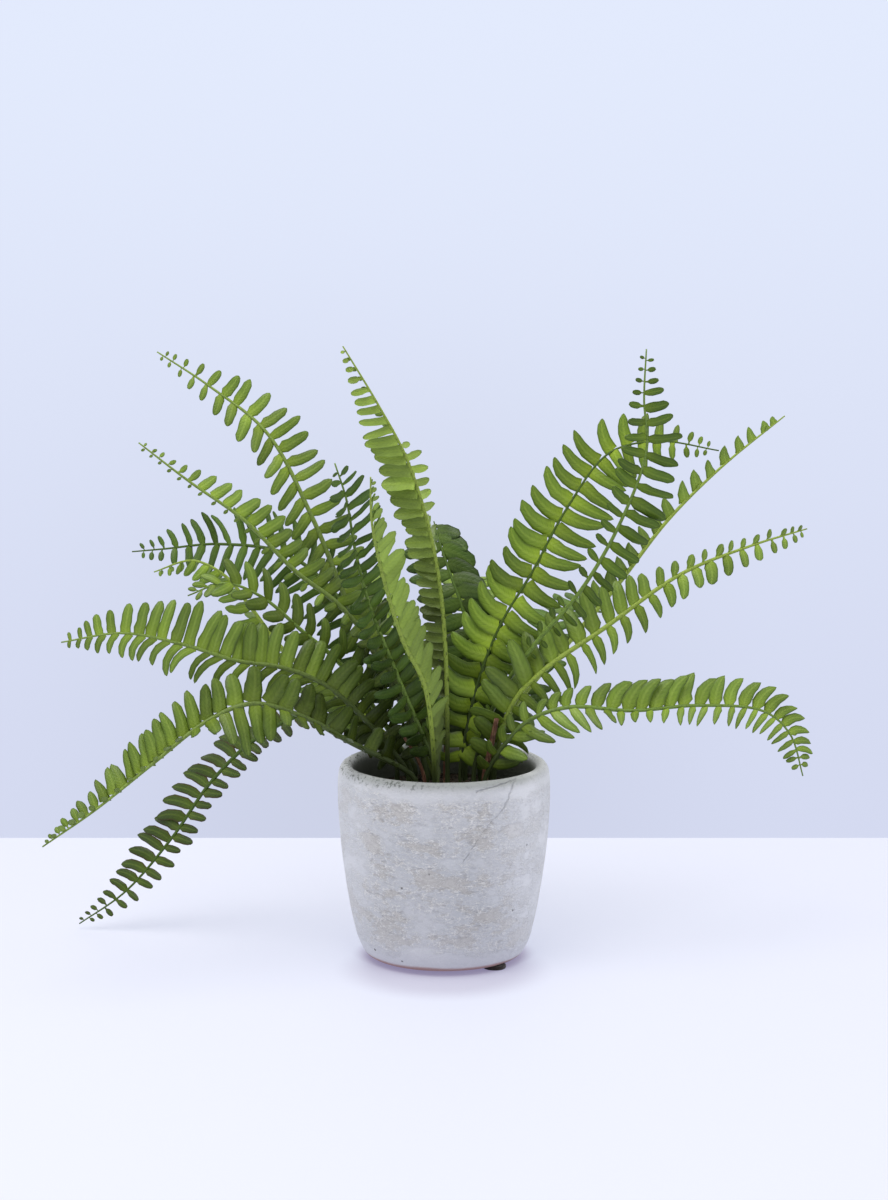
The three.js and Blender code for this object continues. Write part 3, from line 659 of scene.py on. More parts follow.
class Nodes:
    """Adds nodes to a tree. Inputs are given as values or as the outputs of other nodes."""

    def __init__(self, tree):
        self.tree = tree

    def feed(self, socket, value):
        """Links an output to a socket, or sets a value on it."""
        if isinstance(value, Output):
            self.tree.links.new(value.socket, socket)
        else:
            socket.default_value = value

    def add(self, kind, inputs=None, **settings):
        node = self.tree.nodes.new(kind)
        for name, value in settings.items():
            setattr(node, name, value)
        for name, value in (inputs or {}).items():
            self.feed(node.inputs[name], value)
        return node

    def out(self, kind, inputs=None, output=0, **settings):
        """Adds a node and gives one of its outputs."""
        return Output(self, self.add(kind, inputs, **settings).outputs[output])

    def every_output(self, node):
        return [Output(self, socket) for socket in node.outputs]

    def math(self, operation, a, b=0.0):
        return self.out("ShaderNodeMath", {0: a, 1: b}, operation=operation)

    def vector(self, operation, a, b=(0, 0, 0), c=(0, 0, 0)):
        """Reckons with vectors: a product, length or distance is a number."""
        output = "Value" if operation in ("DOT_PRODUCT", "LENGTH", "DISTANCE") else "Vector"
        return self.out("ShaderNodeVectorMath", {0: a, 1: b, 2: c}, output, operation=operation)

    def blend(self, share, a, b, blend_type="MIX"):
        node = self.add("ShaderNodeMix", data_type="RGBA", blend_type=blend_type)
        sockets = {socket.identifier: socket for socket in node.inputs}
        for name, value in (("Factor_Float", share), ("A_Color", a), ("B_Color", b)):
            self.feed(sockets[name], value)
        return Output(self, next(s for s in node.outputs if s.identifier == "Result_Color"))

    def noise(self, place, scale, detail=3.0, roughness=0.5, output="Fac"):
        inputs = {"Vector": place, "Scale": scale, "Detail": detail, "Roughness": roughness}
        return self.out("ShaderNodeTexNoise", inputs, output)

    def stretch(self, place, x, y, z):
        return self.out("ShaderNodeMapping", {"Vector": place, "Scale": (x, y, z)})

    def split(self, vector):
        return self.every_output(self.add("ShaderNodeSeparateXYZ", {"Vector": vector}))

    def attribute(self, name):
        return self.out("ShaderNodeAttribute", output="Fac", attribute_name=name)


def node_group(name, inputs, outputs):
    """Turns a function that fills a node group into one that uses the group, built once."""

    def wrap(fill):
        def build():
            tree = bpy.data.node_groups.new(name, "ShaderNodeTree")
            for side, labels in (("INPUT", inputs), ("OUTPUT", outputs)):
                for label, kind in labels.items():
                    socket_type = "NodeSocket" + kind
                    tree.interface.new_socket(name=label, in_out=side, socket_type=socket_type)
            inner = Nodes(tree)
            given = inner.every_output(inner.add("NodeGroupInput"))[:len(inputs)]
            for socket, value in zip(inner.add("NodeGroupOutput").inputs, fill(inner, *given)):
                inner.feed(socket, value)
            return tree

        def use(nodes, **values):
            tree = bpy.data.node_groups.get(name) or build()
            return nodes.every_output(nodes.add("ShaderNodeGroup", values, node_tree=tree))

        return use

    return wrap


@node_group(
    "grain", dict(Place="Vector", Scale="Float", Coverage="Float"),
    dict(Specks="Float", Height="Float"),
)
def grain(nodes, place, scale, coverage):
    """Fine grain of a given scale: a mask of its specks, and its height."""
    height = nodes.noise(place, scale, 4.0, 0.65)
    low = 0.72 - coverage * 0.4
    return height.step(low, low + 0.06), height


@node_group(
    "soft_spot", dict(Place="Vector", Centre="Vector", Size="Float"), dict(Spot="Float")
)
def soft_spot(nodes, place, centre, size):
    """A mask of a soft spot that is wider than high."""
    flatter = (1, 1, 1.3)
    away = nodes.vector(
        "DISTANCE", nodes.stretch(place, *flatter), nodes.stretch(centre, *flatter)
    )
    return [away.step(size, size * 0.2)]


@node_group(
    "hairline", dict(Place="Vector", Start="Vector", End="Vector", Width="Float"),
    dict(Line="Float"),
)
def hairline(nodes, place, start, end, width):
    """A mask of a wavering hairline between two points."""
    waver = nodes.noise(place, 260.0, 2.0, output="Color")
    swing = 0.0011
    shifted = nodes.vector("MULTIPLY_ADD", waver, (2 * swing,) * 3, place)
    shifted = nodes.vector("SUBTRACT", shifted, (swing,) * 3)
    reach = nodes.vector("SUBTRACT", shifted, start)
    line = nodes.vector("SUBTRACT", end, start)
    reached = nodes.vector("DOT_PRODUCT", reach, line)
    share = nodes.math("DIVIDE", reached, nodes.vector("DOT_PRODUCT", line, line))
    share = nodes.out("ShaderNodeClamp", {"Value": share})
    away = nodes.vector("DISTANCE", reach, nodes.vector("MULTIPLY", line, share))
    return [away.step(width, 0.0)]


@node_group(
    "leaf_marks",
    {
        "Place": "Vector",
        **dict.fromkeys(("Along", "Across", "Under", "Shade", "Browned"), "Float"),
        **dict.fromkeys(LEAF_PARTS, "Color"),
    },
    dict(Color="Color", Roughness="Float", Height="Float"),
)
def leaf_marks(nodes, place, along, across, under, shade, browned, *colours):
    """The colour, roughness and relief of a leaflet, with its veins, cut edge, underside, and
    painted light and shade.
    """
    blade, root, vein, edge, underside = colours
    away = abs(across)
    mottle = nodes.noise(place, 190.0, 4.0)
    fine = nodes.noise(place, 1400.0, 2.0)
    midrib = away.step(0.30, 0.02)
    groove = away.step(0.10, 0.26) * away.step(0.55, 0.30)
    waves = nodes.math("SINE", along * 62.0 - away * 9.0)
    veins = waves.step(0.35, 1.0) * away.step(1.0, 0.75)

    # Lighter near the root: partly the leaf's colour, partly painted light shining through it
    body = nodes.blend(along.step(0.62, 0.0), blade, root)
    body = nodes.blend(under * 0.8, body, underside)
    # A lighter midrib: partly a paler vein, partly a painted highlight on its ridge
    body = nodes.blend(midrib * 0.5, body, vein)
    # Painted shade in the grooves beside the midrib
    body = nodes.blend(groove * 0.03, body, edge)
    body = nodes.blend(veins * 0.07, body, edge)
    browned = browned * mottle.step(0.35, 0.6)
    # A darker cut edge: partly its own colour and browning, partly painted shade as it curls down
    cut = away.step(0.55, 1.05).larger(along.step(0.93, 1.0))
    cut = cut * (browned * 0.4 + 0.6) * (1.0 - under * 0.55)
    body = nodes.blend(cut, body, edge)
    # Random tone and mottling, with the painted shade low in the plant that Shade carries
    light = (mottle * 0.28 + 0.72 + shade * 0.40).larger(0.2)
    body = nodes.blend(1.0, body, light, "MULTIPLY")

    relief = fine * 0.08 - veins * 0.2 - groove * 0.17
    return body, mottle * 0.22 + 0.26, relief


def empty_nodes(owner):
    """The nodes of a material or world, none as yet."""
    owner.use_nodes = True
    owner.node_tree.nodes.clear()
    return Nodes(owner.node_tree)


def new_material(name, specular, sheen=0.0):
    """A material with a Principled shader, its nodes, and the place on the object."""
    material = bpy.data.materials.new(name)
    nodes = empty_nodes(material)
    inputs = {"Specular IOR Level": specular, "Sheen Weight": sheen}
    surface = nodes.add("ShaderNodeBsdfPrincipled", inputs)
    nodes.add("ShaderNodeOutputMaterial", {"Surface": Output(nodes, surface.outputs[0])})
    return material, nodes, surface, nodes.out("ShaderNodeTexCoord", output="Object")


def wear(nodes, surface, colour, roughness, height, distance, strength=1.0):
    """Feeds a colour, a roughness and a relief to the shader."""
    relief = {"Height": height, "Distance": distance, "Strength": strength}
    normal = nodes.out("ShaderNodeBump", relief, "Normal")
    for label, value in (("Base Color", colour), ("Roughness", roughness), ("Normal", normal)):
        nodes.feed(surface.inputs[label], value)


def opaque(colour):
    return (*colour, 1)


def leaf_material(tone):
    """The satin leaf of one tone."""
    name = "satin_leaf_" + tone
    if name in bpy.data.materials:
        return bpy.data.materials[name]
    material, nodes, surface, place = new_material(name, specular=0.22)
    along, across, _ = nodes.split(nodes.out("ShaderNodeUVMap", uv_map="leaf"))
    colour, roughness, height = leaf_marks(
        nodes, Place=place, Along=along, Across=across * 2.0 - 1.0,
        Under=nodes.attribute("under"), Shade=nodes.attribute("shade"),
        Browned=0.6 if tone == "trailing" else 0.0,
        **dict(zip(LEAF_PARTS, map(opaque, LEAF_COLOURS[tone]))),
    )
    wear(nodes, surface, colour, roughness, height, distance=0.0004, strength=0.7)
    return material


def rib_material(tone):
    """The rib of one tone: darker towards its foot, with faint flecks."""
    name = "satin_rib_" + tone
    if name in bpy.data.materials:
        return bpy.data.materials[name]
    material, nodes, surface, place = new_material(name, specular=0.25)
    specks, height = grain(nodes, Place=place, Scale=700.0, Coverage=0.5)
    colour, dark_end = RIB_COLOURS[tone]
    foot = nodes.attribute("along").step(dark_end, 0.10)
    body = nodes.blend(foot, opaque(colour), opaque(RIB_FOOT_COLOUR))
    body = nodes.blend(specks * 0.35, body, opaque(RIB_FOOT_COLOUR))
    wear(nodes, surface, body, height * 0.2 + 0.36, height, distance=0.0003, strength=0.5)
    return material


def cement_material(settings):
    """Whitewashed cement: worn patches, strokes, pits, cracks, a greenish rim, a stained foot."""
    material, nodes, surface, place = new_material("whitewashed_cement", specular=0.25)

    def mark(body, mask, name):
        colour, share = POT_MARKS[name]
        return nodes.blend(mask * share, body, opaque(colour))

    x, y, height = nodes.split(place)
    radius = nodes.math("SQRT", x * x + y * y)
    cloud = nodes.noise(place, 26.0)
    ragged = nodes.noise(nodes.stretch(place, 1, 1, 1.9), 40.0, 12.0, 0.72)
    strokes = nodes.noise(nodes.stretch(place, 1, 1, 2.4), 230.0, 3.0, 0.6)
    streaks = nodes.noise(nodes.stretch(place, 1, 1, 0.2), 120.0)
    body = nodes.blend(cloud.step(0.40, 0.62), settings.whitewash, settings.cool)
    body = nodes.blend(streaks * 0.14, body, settings.worn)

    # Worn through to the cement in patches, most of all at the spots in front
    spots = cloud.step(0.52, 0.66)
    for centre, size in WORN_SPOTS:
        spot = soft_spot(nodes, Place=place, Centre=centre, Size=size)[0]
        spots = spots.larger(spot)
    belly = height.step(0.006, 0.020) * height.step(0.110, 0.100)
    where = ragged + spots * 0.09 + belly * 0.2 - 0.2
    worn = where.step(0.52, 0.60)
    body = nodes.blend(worn * 0.8, body, settings.worn)

    # Fine pale strokes and their shadows, mostly round the patches
    around = where.step(0.42, 0.53) * where.step(0.68, 0.58) * 0.78 + 0.22
    pale = abs(strokes - 0.5).step(0.045, 0.012) * around
    body = mark(body, pale, "strokes")
    body = mark(body, strokes.step(0.42, 0.36) * around, "shadows")

    # Painted light: lighter at both sides and near the bottom
    sides = x.step(0.018, 0.052).larger(x.step(-0.034, -0.062))
    body = mark(body, sides.larger(height.step(0.036, 0.010) * 0.42), "painted_light")

    # The greenish lip, strongest in front, and its soot, strongest at the left
    lip = height.step(0.104, 0.1088) * radius.step(0.0602, 0.0578)
    body = nodes.blend(lip * (y.step(-0.01, -0.045) * 0.70 + 0.20), body, settings.rim)
    specks, _ = grain(nodes, Place=place, Scale=500.0, Coverage=0.46)
    top = height.step(0.1055, 0.1105) * (x.step(0.01, -0.03) * 0.75 + 0.25)
    body = mark(body, specks * top, "soot")

    # A pit in a few of the cells of a coarse pattern
    cells = nodes.add("ShaderNodeTexVoronoi", {"Vector": place, "Scale": 130.0})
    away, chance, *_ = nodes.every_output(cells)
    pits = away.step(0.12, 0.06) * nodes.split(chance)[0].step(0.92, 0.93)
    body = mark(body, pits, "pits")

    flat = nodes.stretch(place, 1, 0, 1)
    cracks = 0.0
    for start, end, width in CRACKS:
        line = hairline(nodes, Place=flat, Start=start, End=end, Width=width)[0]
        cracks = line.larger(cracks)
    cracks = cracks * y.step(-0.02, -0.03)
    body = mark(body, cracks, "cracks")

    # The bare wall inside, darkened with painted shade, and the stained edge of the base
    painted_inner_shade = radius.step(MOUTH + 0.0016, MOUTH - 0.0004) * height.step(0.05, 0.06)
    body = nodes.blend(painted_inner_shade, body, settings.inside)
    foot = (height + cloud * 0.003).step(0.0072, 0.0052)
    body = nodes.blend(foot * (1.0 - painted_inner_shade), body, settings.foot)

    relief = ragged * 0.4 + strokes * around + pale * 0.5 - worn * 0.5 - pits * 1.5 - cracks
    wear(nodes, surface, body, worn * 0.14 + 0.78, relief, distance=0.0006, strength=0.8)
    return material


def soil_material(settings):
    """Dark crumbly potting mix with drier crumbs."""
    material, nodes, surface, place = new_material("crumbly_soil", specular=0.2)
    specks, height = grain(nodes, Place=place, Scale=420.0, Coverage=0.62)
    body = nodes.blend(nodes.attribute("dry") * 0.8, settings.dark, settings.light)
    body = nodes.blend(specks * 0.5, body, settings.light)
    wear(nodes, surface, body, height * 0.1 + 0.85, height, distance=0.0012)
    return material


def felt_material(settings):
    """Dense dark felt with a fuzz of lighter fibres."""
    material, nodes, surface, place = new_material("dark_felt", specular=0.15, sheen=0.3)
    specks, height = grain(nodes, Place=place, Scale=2400.0, Coverage=0.6)
    body = nodes.blend(specks * 0.35, settings.felt, settings.fibres)
    wear(nodes, surface, body, height * 0.08 + 0.9, height, distance=0.0003)
    return material


def bark_material(settings):
    """A dry reddish brown stalk, streaked along its length, with faint rings."""
    material, nodes, surface, place = new_material("dry_bark", specular=0.3)
    streaks = nodes.noise(nodes.stretch(place, 1, 1, 0.12), 1500.0)
    rings = nodes.noise(nodes.stretch(place, 0.1, 0.1, 1), 420.0, 2.0)
    specks, _ = grain(nodes, Place=place, Scale=900.0, Coverage=0.4)
    body = nodes.blend(streaks.step(0.50, 0.70), settings.bark, settings.streak)
    body = nodes.blend(rings.step(0.58, 0.66) * 0.5, body, settings.crust)
    body = nodes.blend(specks * 0.4, body, settings.crust)
    relief = streaks + rings * 0.6
    wear(nodes, surface, body, streaks * 0.2 + 0.6, relief, distance=0.0005)
    return material


def build_pot(settings):
    """The pot: its section spun round, then made a little uneven as if cast by hand."""
    outline = Curve([(0, 0, POT_SECTION[0][1])] + [(r, 0, z) for r, z in POT_SECTION])
    count = round(outline.length / POT_STEP)
    section = [outline.at(i * POT_STEP) for i in range(1, count)]
    section.append(outline.points[-1])
    base, floor = POT_SECTION[0][1], POT_SECTION[-1][1]
    bm = bmesh.new()
    spin_section(bm, [(0, 0, base), *section, (0, 0, floor)], settings.sides)
    flat = base + 0.0006
    for vert in bm.verts:
        if vert.co.z > flat and vert.co.xy.length > MOUTH - 0.001:
            broad = noise.noise(vert.co * 22)
            fine = noise.noise(vert.co * 95)
            stray = settings.unevenness * (0.7 * broad + 0.3 * fine - 0.5)
            vert.co += vert.normal * stray * smooth_step(vert.co.z, flat, 0.012)
    return finish_piece(bm, "cement_pot", "pot", "cement", [cement_material(settings)])


def build_soil(settings):
    """The soil: a plug with an uneven crumbly top, and loose crumbs on it."""
    (foot_radius, foot), (edge_radius, edge), (shoulder_radius, shoulder) = SOIL_SECTION
    top = []
    for i in range(SOIL_RINGS):
        radius = edge_radius * (1 - i / SOIL_RINGS)
        height = mix(shoulder, SOIL_CROWN, 1 - min(radius / shoulder_radius, 1))
        if radius > shoulder_radius:
            height = mix(edge, shoulder, (edge_radius - radius) / (edge_radius - shoulder_radius))
        top.append((radius, height))
    section = [(0, foot), (foot_radius, foot), *top, (0, SOIL_CROWN)]
    bm = bmesh.new()
    dry = bm.verts.layers.float.new("dry")
    spin_section(bm, [(radius, 0, height) for radius, height in section], SOIL_SIDES)

    def surface(x, y):
        """The height of the crumbly top."""
        radius = math.hypot(x, y)
        share = min(radius / edge_radius, 1)
        lift = noise.noise((x * 120, y * 120, 1)) + 0.6 * noise.noise((x * 330, y * 330, 5))
        return mix(SOIL_CROWN, edge, share * share) + settings.unevenness * (lift - 0.6)

    for vert in bm.verts:
        if vert.co.z > foot + 0.01 and vert.co.xy.length < edge_radius - 1e-4:
            vert.co.z = surface(vert.co.x, vert.co.y)
    draw = random.Random(3)
    for _ in range(settings.crumbs):
        radius = (edge_radius - 0.002) * math.sqrt(draw.random())
        turn = draw.uniform(0, math.tau)
        x, y = radius * math.cos(turn), radius * math.sin(turn)
        size = draw.uniform(0.0006, 0.0017)
        sizes = size, size * draw.uniform(0.5, 1), size * draw.uniform(0.4, 0.8)
        shape = Matrix.Diagonal((*sizes, 1))
        spin = Matrix.Rotation(draw.uniform(0, math.tau), 4, "Z")
        spin = spin @ Matrix.Rotation(draw.uniform(-0.5, 0.5), 4, "X")
        place = Matrix.Translation((x, y, surface(x, y) + 0.25 * size))
        made = bmesh.ops.create_icosphere(bm, subdivisions=1, radius=1, matrix=place @ spin @ shape)
        dryness = draw.random() ** 2
        for vert in made["verts"]:
            vert[dry] = dryness
            vert.co += Vector([draw.uniform(-1, 1) for _ in range(3)]) * size * 0.18
    return finish_piece(bm, "potting_soil", "soil", "soil", [soil_material(settings)])


def build_pads(settings):
    """The felt pads: discs with softly rounded edges, where the frame has them."""
    material = felt_material(settings)
    for node in sorted(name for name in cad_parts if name.startswith("pad_")):
        low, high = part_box(node)
        middle = (low + high) / 2
        bm = bmesh.new()
        bmesh.ops.create_cone(
            bm, cap_ends=True, segments=56, radius1=PAD_RADIUS, radius2=PAD_RADIUS,
            depth=high.z - low.z, matrix=Matrix.Translation(middle),
        )
        rims = [edge for edge in bm.edges if abs(edge.verts[0].co.z - edge.verts[1].co.z) < 1e-6]
        bmesh.ops.bevel(
            bm, geom=rims, offset=settings.rounding, segments=4, profile=0.5, affect="EDGES",
            material=-1,
        )
        finish_piece(bm, "felt_" + node, node, "felt", [material])


def upright_line(foot, rest):
    """The points of a line that stands upright in the soil and then goes on."""
    return [(*foot, height) for height in (FOOT_HEIGHT, *UPRIGHT_HEIGHTS)] + rest


def build_stubs(settings):
    """The stubs: knobbly tapering pegs."""
    material = bark_material(settings)
    for node, plan in STUBS.items():
        foot, top = Vector((*plan["foot"], 0)), Vector(plan["top"])
        share, height = STUB_BEND
        bend = mix(foot, top, share)
        curve = Curve(upright_line(plan["foot"], [(bend.x, bend.y, height), plan["top"]]))
        wide, narrow = plan["radii"]
        places = []
        for i in range(STUB_STEPS + 1):
            along = curve.length * i / STUB_STEPS
            ahead = curve.direction(along)
            right = ahead.orthogonal().normalized()
            knobs = 1 + STUB_KNOBS * noise.noise(curve.at(along) * 260)
            radius = mix(wide, narrow, i / STUB_STEPS) * knobs
            places.append(Place(curve.at(along), ahead, right.cross(ahead), right, radius))
        bm = bmesh.new()
        sweep_tube(bm, places, settings.sides)
        finish_piece(bm, "old_" + node, node, "stub", [material])


class Rib:
    """The line of a frond, with its upper side and its radius at each length."""

    def __init__(self, plan, radius):
        (foot, *rest) = plan["rib"]
        self.curve = Curve(upright_line(foot, rest))
        self.length = self.curve.length - 2 * RIB_TIP_RADIUS
        self.faces = [Vector(face) for face in plan["face"]]
        self.radius = radius

    def place(self, along):
        """The place at a length along the rib."""
        share = along / self.length
        ahead = self.curve.direction(along)
        up = mix(self.faces[0], self.faces[1], share)
        up = (up - ahead * up.dot(ahead)).normalized()
        radius = mix(self.radius, RIB_TIP_RADIUS, share**2.2)
        return Place(self.curve.at(along), ahead, up, ahead.cross(up), radius)


class Room:
    """Points of all that has found its place, by which a new leaflet keeps clear of it."""

    CELL = 0.0024
    RIB_GAP = 0.0022
    LEAF_GAP = 0.0016
    BOX_GAP = 0.0003
    MOUTH_GAP = 0.0008  # to the pot's inner wall and the soil
    POT_GAP = 0.0006  # to the pot from outside

    def __init__(self):
        self.cells = {}

    def cell(self, point):
        return tuple(math.floor(v / self.CELL) for v in point)

    def keep(self, points, owner, gap):
        """Keeps points, and the gap that other owners leave to them."""
        for point in points:
            self.cells.setdefault(self.cell(point), []).append((point, owner, gap))

    def is_clear(self, points, owner):
        """Whether the points are in the open and clear of what other owners keep."""
        for point in points:
            if not self.is_open(point):
                return False
            i, j, k = self.cell(point)
            for a in (i - 1, i, i + 1):
                for b in (j - 1, j, j + 1):
                    for c in (k - 1, k, k + 1):
                        for other, its_owner, gap in self.cells.get((a, b, c), ()):
                            if its_owner != owner and (other - point).length < gap:
                                return False
        return True

    @staticmethod
    def is_open(point):
        """Whether a point is inside the frame's box and outside the pot and its soil."""
        for value, low, high in zip(point, *cad_box):
            if not low + Room.BOX_GAP < value < high - Room.BOX_GAP:
                return False
        reach = math.hypot(point.x, point.y)
        if reach < MOUTH - Room.MOUTH_GAP and point.z > SOIL_CROWN + Room.MOUTH_GAP:
            return True
        return point.z > POT_TOP + Room.POT_GAP or reach > POT_WIDEST + Room.POT_GAP


class Leaflet:
    """One leaflet: it leaves the rib at its root, and bends as it goes."""

    BUD, BLADE = 0.006, 0.013  # lengths up to which it is a bud, and from which it is a blade
    SUNK = 0.4  # where in the rib's radius it begins
    STALK = 0.2  # share of a bud's length that is its stalk, which is as wide for its width

    def __init__(self, place, side, size, form, bends, draw):
        fold, sweep, curl, droop, roll = bends
        width, self.taper, self.root, self.cupping, stalked = form
        self.side = side
        self.half = width / 2
        out = place.right * side * math.cos(fold) + place.up * math.sin(fold)
        out = (out * math.cos(sweep) + place.ahead * math.sin(sweep)).normalized()
        lift = out.cross(place.ahead).normalized() * side
        forward = lift.cross(out) * side
        lift, forward = (
            lift * math.cos(roll) - forward * math.sin(roll),
            forward * math.cos(roll) + lift * math.sin(roll),
        )
        self.bud = stalked * (1 - smooth_step(size, self.BUD, self.BLADE))
        self.phases = [draw.uniform(0, math.tau) for _ in range(4)]
        self.notch = draw.uniform(0.03, 0.08)
        self.ripple = draw.uniform(0.06, 0.16) * (1 - self.bud)
        self.stations = []
        at = place.at + place.right * side * place.radius * self.SUNK
        before = 0.0
        for row in range(ROWS + 1):
            along = 0.5 - 0.5 * math.cos(math.pi * row / ROWS)
            middle = (along + before) / 2
            step = self.turned(out, forward, lift, curl * middle, droop * middle)[0]
            at = at + step * size * (along - before)
            _, across, up = self.turned(out, forward, lift, curl * along, droop * along)
            self.stations.append((at, across, up, along))
            before = along

    @staticmethod
    def turned(out, forward, lift, curl, droop):
        """The three directions, bent by two angles."""
        lowered = out * math.cos(droop) - lift * math.sin(droop)
        up = lift * math.cos(droop) + out * math.sin(droop)
        ahead = lowered * math.cos(curl) + forward * math.sin(curl)
        return ahead, forward * math.cos(curl) - lowered * math.sin(curl), up

    def breadth(self, along, across):
        """Share of the half width that the leaflet has there: a blade, or a bud on its stalk."""
        blade = mix(self.root, 1, smooth_step(along, 0, 0.2))
        blade *= mix(1, self.taper, smooth_step(along, 0.3, 0.95))
        if across > 0:
            ear = math.exp(-(((along - 0.14) / 0.09) ** 2))
            blade *= 1 + 0.10 * ear
        round_from = 0.68
        past = max(0, (along - round_from) / (1 - round_from))
        blade *= max(0.02, 1 - past**2.2) ** mix(1.3, 0.4, self.taper)
        blade *= 1 + self.notch * math.sin(17 * along + self.phases[across > 0])
        past = (along - self.STALK) / (1 - self.STALK)
        bud = self.STALK if past < 0 else max(self.STALK, 1 - abs(2 * past - 1) ** 2.6) ** 0.5
        return mix(blade, bud, self.bud)

    def point(self, row, across, under, thickness):
        """A point of the blade's upper or lower surface."""
        at, forward, up, along = self.stations[row]
        away = abs(across)
        swell = self.cupping * (math.sin(math.pi * min(away, 1)) - 0.7 * away**2)
        wave = self.ripple * away * away * math.sin(8 * along + self.phases[2 + (across > 0)])
        height = self.half * (swell + wave) * smooth_step(along, -0.05, 0.2)
        height += thickness * mix(1, 0.6, away) * (0.5 - under)
        return at + forward * (self.half * across * self.breadth(along, across)) + up * height

    def spots(self):
        """Points spread over the blade."""
        return [
            self.point(row, across, 0.5, 0)
            for row in range(2, ROWS + 1)
            for across in (-1, -0.5, 0, 0.5, 1)
        ]


def leaflet_blank(mirrored):
    """A flat closed blank: x is the row, y runs across it from -1 to 1, z is 1 on the underside."""
    bm = bmesh.new()
    bm.loops.layers.uv.new("leaf")
    bmesh.ops.create_grid(bm, x_segments=ROWS, y_segments=COLUMNS, size=0.5, calc_uvs=True)
    bmesh.ops.solidify(bm, geom=bm.faces, thickness=1)
    low = min(vert.co.z for vert in bm.verts)
    for edge in bm.edges:
        edge.smooth = edge.calc_face_angle(0) < 1
    for vert in bm.verts:
        across = 2 * vert.co.y
        vert.co.x = round((vert.co.x + 0.5) * ROWS)
        vert.co.y = across
        vert.co.z = 1 if vert.co.z - low < 0.5 else 0
    if mirrored:
        bmesh.ops.reverse_faces(bm, faces=bm.faces)
    for face in bm.faces:
        face.smooth = True
    return finish_mesh(bm, "leaflet_blank")


SPREADS = {"fold": 9, "sweep": 7, "curl": 12, "droop": 10, "roll": 13}  # random degrees
LOW_UNREST = 1.9  # how many times these degrees the lowest leaflets get
LOW_SHARE = 0.78  # what the lowest leaflets have of their length
RIGHT_LATER = 0.004  # how much further out the right leaflets begin
BUD_WIDTH = 0.0006  # what a leaflet's largest width has beyond stout's share of its length
BUD_RISE = 1.6  # how much faster the buds grow for each metre down the rib
PAINTED_SHADE_SCALE = 2.2  # how far a frond's painted shade darkens a leaflet's shade
# What a leaflet tries until it finds room, in this order: shares of its length, and more fold
SHARES = (1, 0.85, 0.7, 0.55)
TILTS = [math.radians(t) for t in (0, 8, -8, 16, -16, 25, -25, 35, -35, 47, -47, 60, -60)]


def along_row(value, index, far):
    """A value of the table for one row of leaflets, at a share of the way to the tip."""
    if isinstance(value, tuple):
        value = value[index]
    if not isinstance(value, tuple):
        return value
    place = far * (len(value) - 1)
    low = min(int(place), len(value) - 2)
    return mix(value[low], value[low + 1], place - low)


def leaflets(node, plan, settings, rib, room):
    """The leaflets of a frond, each where it finds room, from the foot to the tip."""
    draw = random.Random(node)
    end = rib.length - NEEDLE
    for index, side in enumerate((-1, 1)):
        along = plan["bare"] + (RIGHT_LATER if side > 0 else 0)
        while along < end:
            far = (along - plan["bare"]) / (end - plan["bare"])
            left = rib.length - along
            blade, wide, taper, root, spacing = (
                along_row(plan[name], index, far)
                for name in ("blade", "width", "taper", "root", "spacing")
            )
            full = blade * mix(LOW_SHARE, 1, smooth_step(far, 0, 0.18))
            bud = settings.tip_size + plan["growth"] * left + BUD_RISE * left * left
            size = (full**-5 + bud**-5) ** -0.2 * (1 + settings.spread * draw.uniform(-1, 1))
            width = wide + settings.low_width * smooth_step(far, 0.4, 0)
            width = min(width, plan["stout"] * size + BUD_WIDTH) * draw.uniform(0.9, 1.1)
            bends = []
            unrest = mix(LOW_UNREST, 1, smooth_step(far, 0, 0.45))
            for bend, spread in SPREADS.items():
                angle = along_row(plan[bend], index, far) + draw.uniform(-spread, spread) * unrest
                bends.append(math.radians(angle))
            place = rib.place(along)
            # A random tone, less the frond's painted shade where shade falls among the fronds
            shade = draw.random() - PAINTED_SHADE_SCALE * along_row((plan["dim"],) * 2, index, far)
            seed = draw.random()
            for share, tilt in ((s, t) for s in SHARES for t in TILTS):
                tilted = [bends[0] + tilt, *bends[1:]]
                form = (width, taper, root, settings.cupping, plan["stalked"])
                leaf = Leaflet(place, side, size * share, form, tilted, random.Random(seed))
                spots = leaf.spots()
                if room.is_clear(spots, node):
                    room.keep(spots, node, Room.LEAF_GAP)
                    yield leaf, shade
                    break
            near_tip = smooth_step(left, settings.tip_reach, 0)
            along += mix(spacing, settings.tip_spacing, near_tip) * draw.uniform(0.87, 1.13)


def build_frond(node, settings, room, blanks):
    """One frond: its rib, and the leaflets that stand along it."""
    plan = FRONDS[node]
    rib = Rib(plan, settings.rib_radius * plan["rib_scale"])
    bm = bmesh.new()
    bm.loops.layers.uv.new("leaf")
    under = bm.verts.layers.float.new("under")
    shade_of = bm.verts.layers.float.new("shade")
    along = bm.verts.layers.float.new("along")
    count = round(rib.length / RIB_STEP)
    places = [rib.place(rib.length * i / count) for i in range(count + 1)]
    _, faces = sweep_tube(bm, places, RIB_SIDES, along)
    for face in faces:
        face.material_index = 1
    for leaf, shade in leaflets(node, plan, settings, rib, room):
        start = len(bm.verts)
        bm.from_mesh(blanks[leaf.side])
        bm.verts.ensure_lookup_table()
        for vert in bm.verts[start:]:
            row, across, below = vert.co
            vert.co = leaf.point(round(row), across, below, settings.thickness)
            vert[under] = below
            vert[shade_of] = shade
    materials = [leaf_material(plan["tone"]), rib_material(plan["rib_tone"])]
    finish_piece(bm, "fern_" + node, node, LEAF_SLOTS[plan["tone"]], materials)


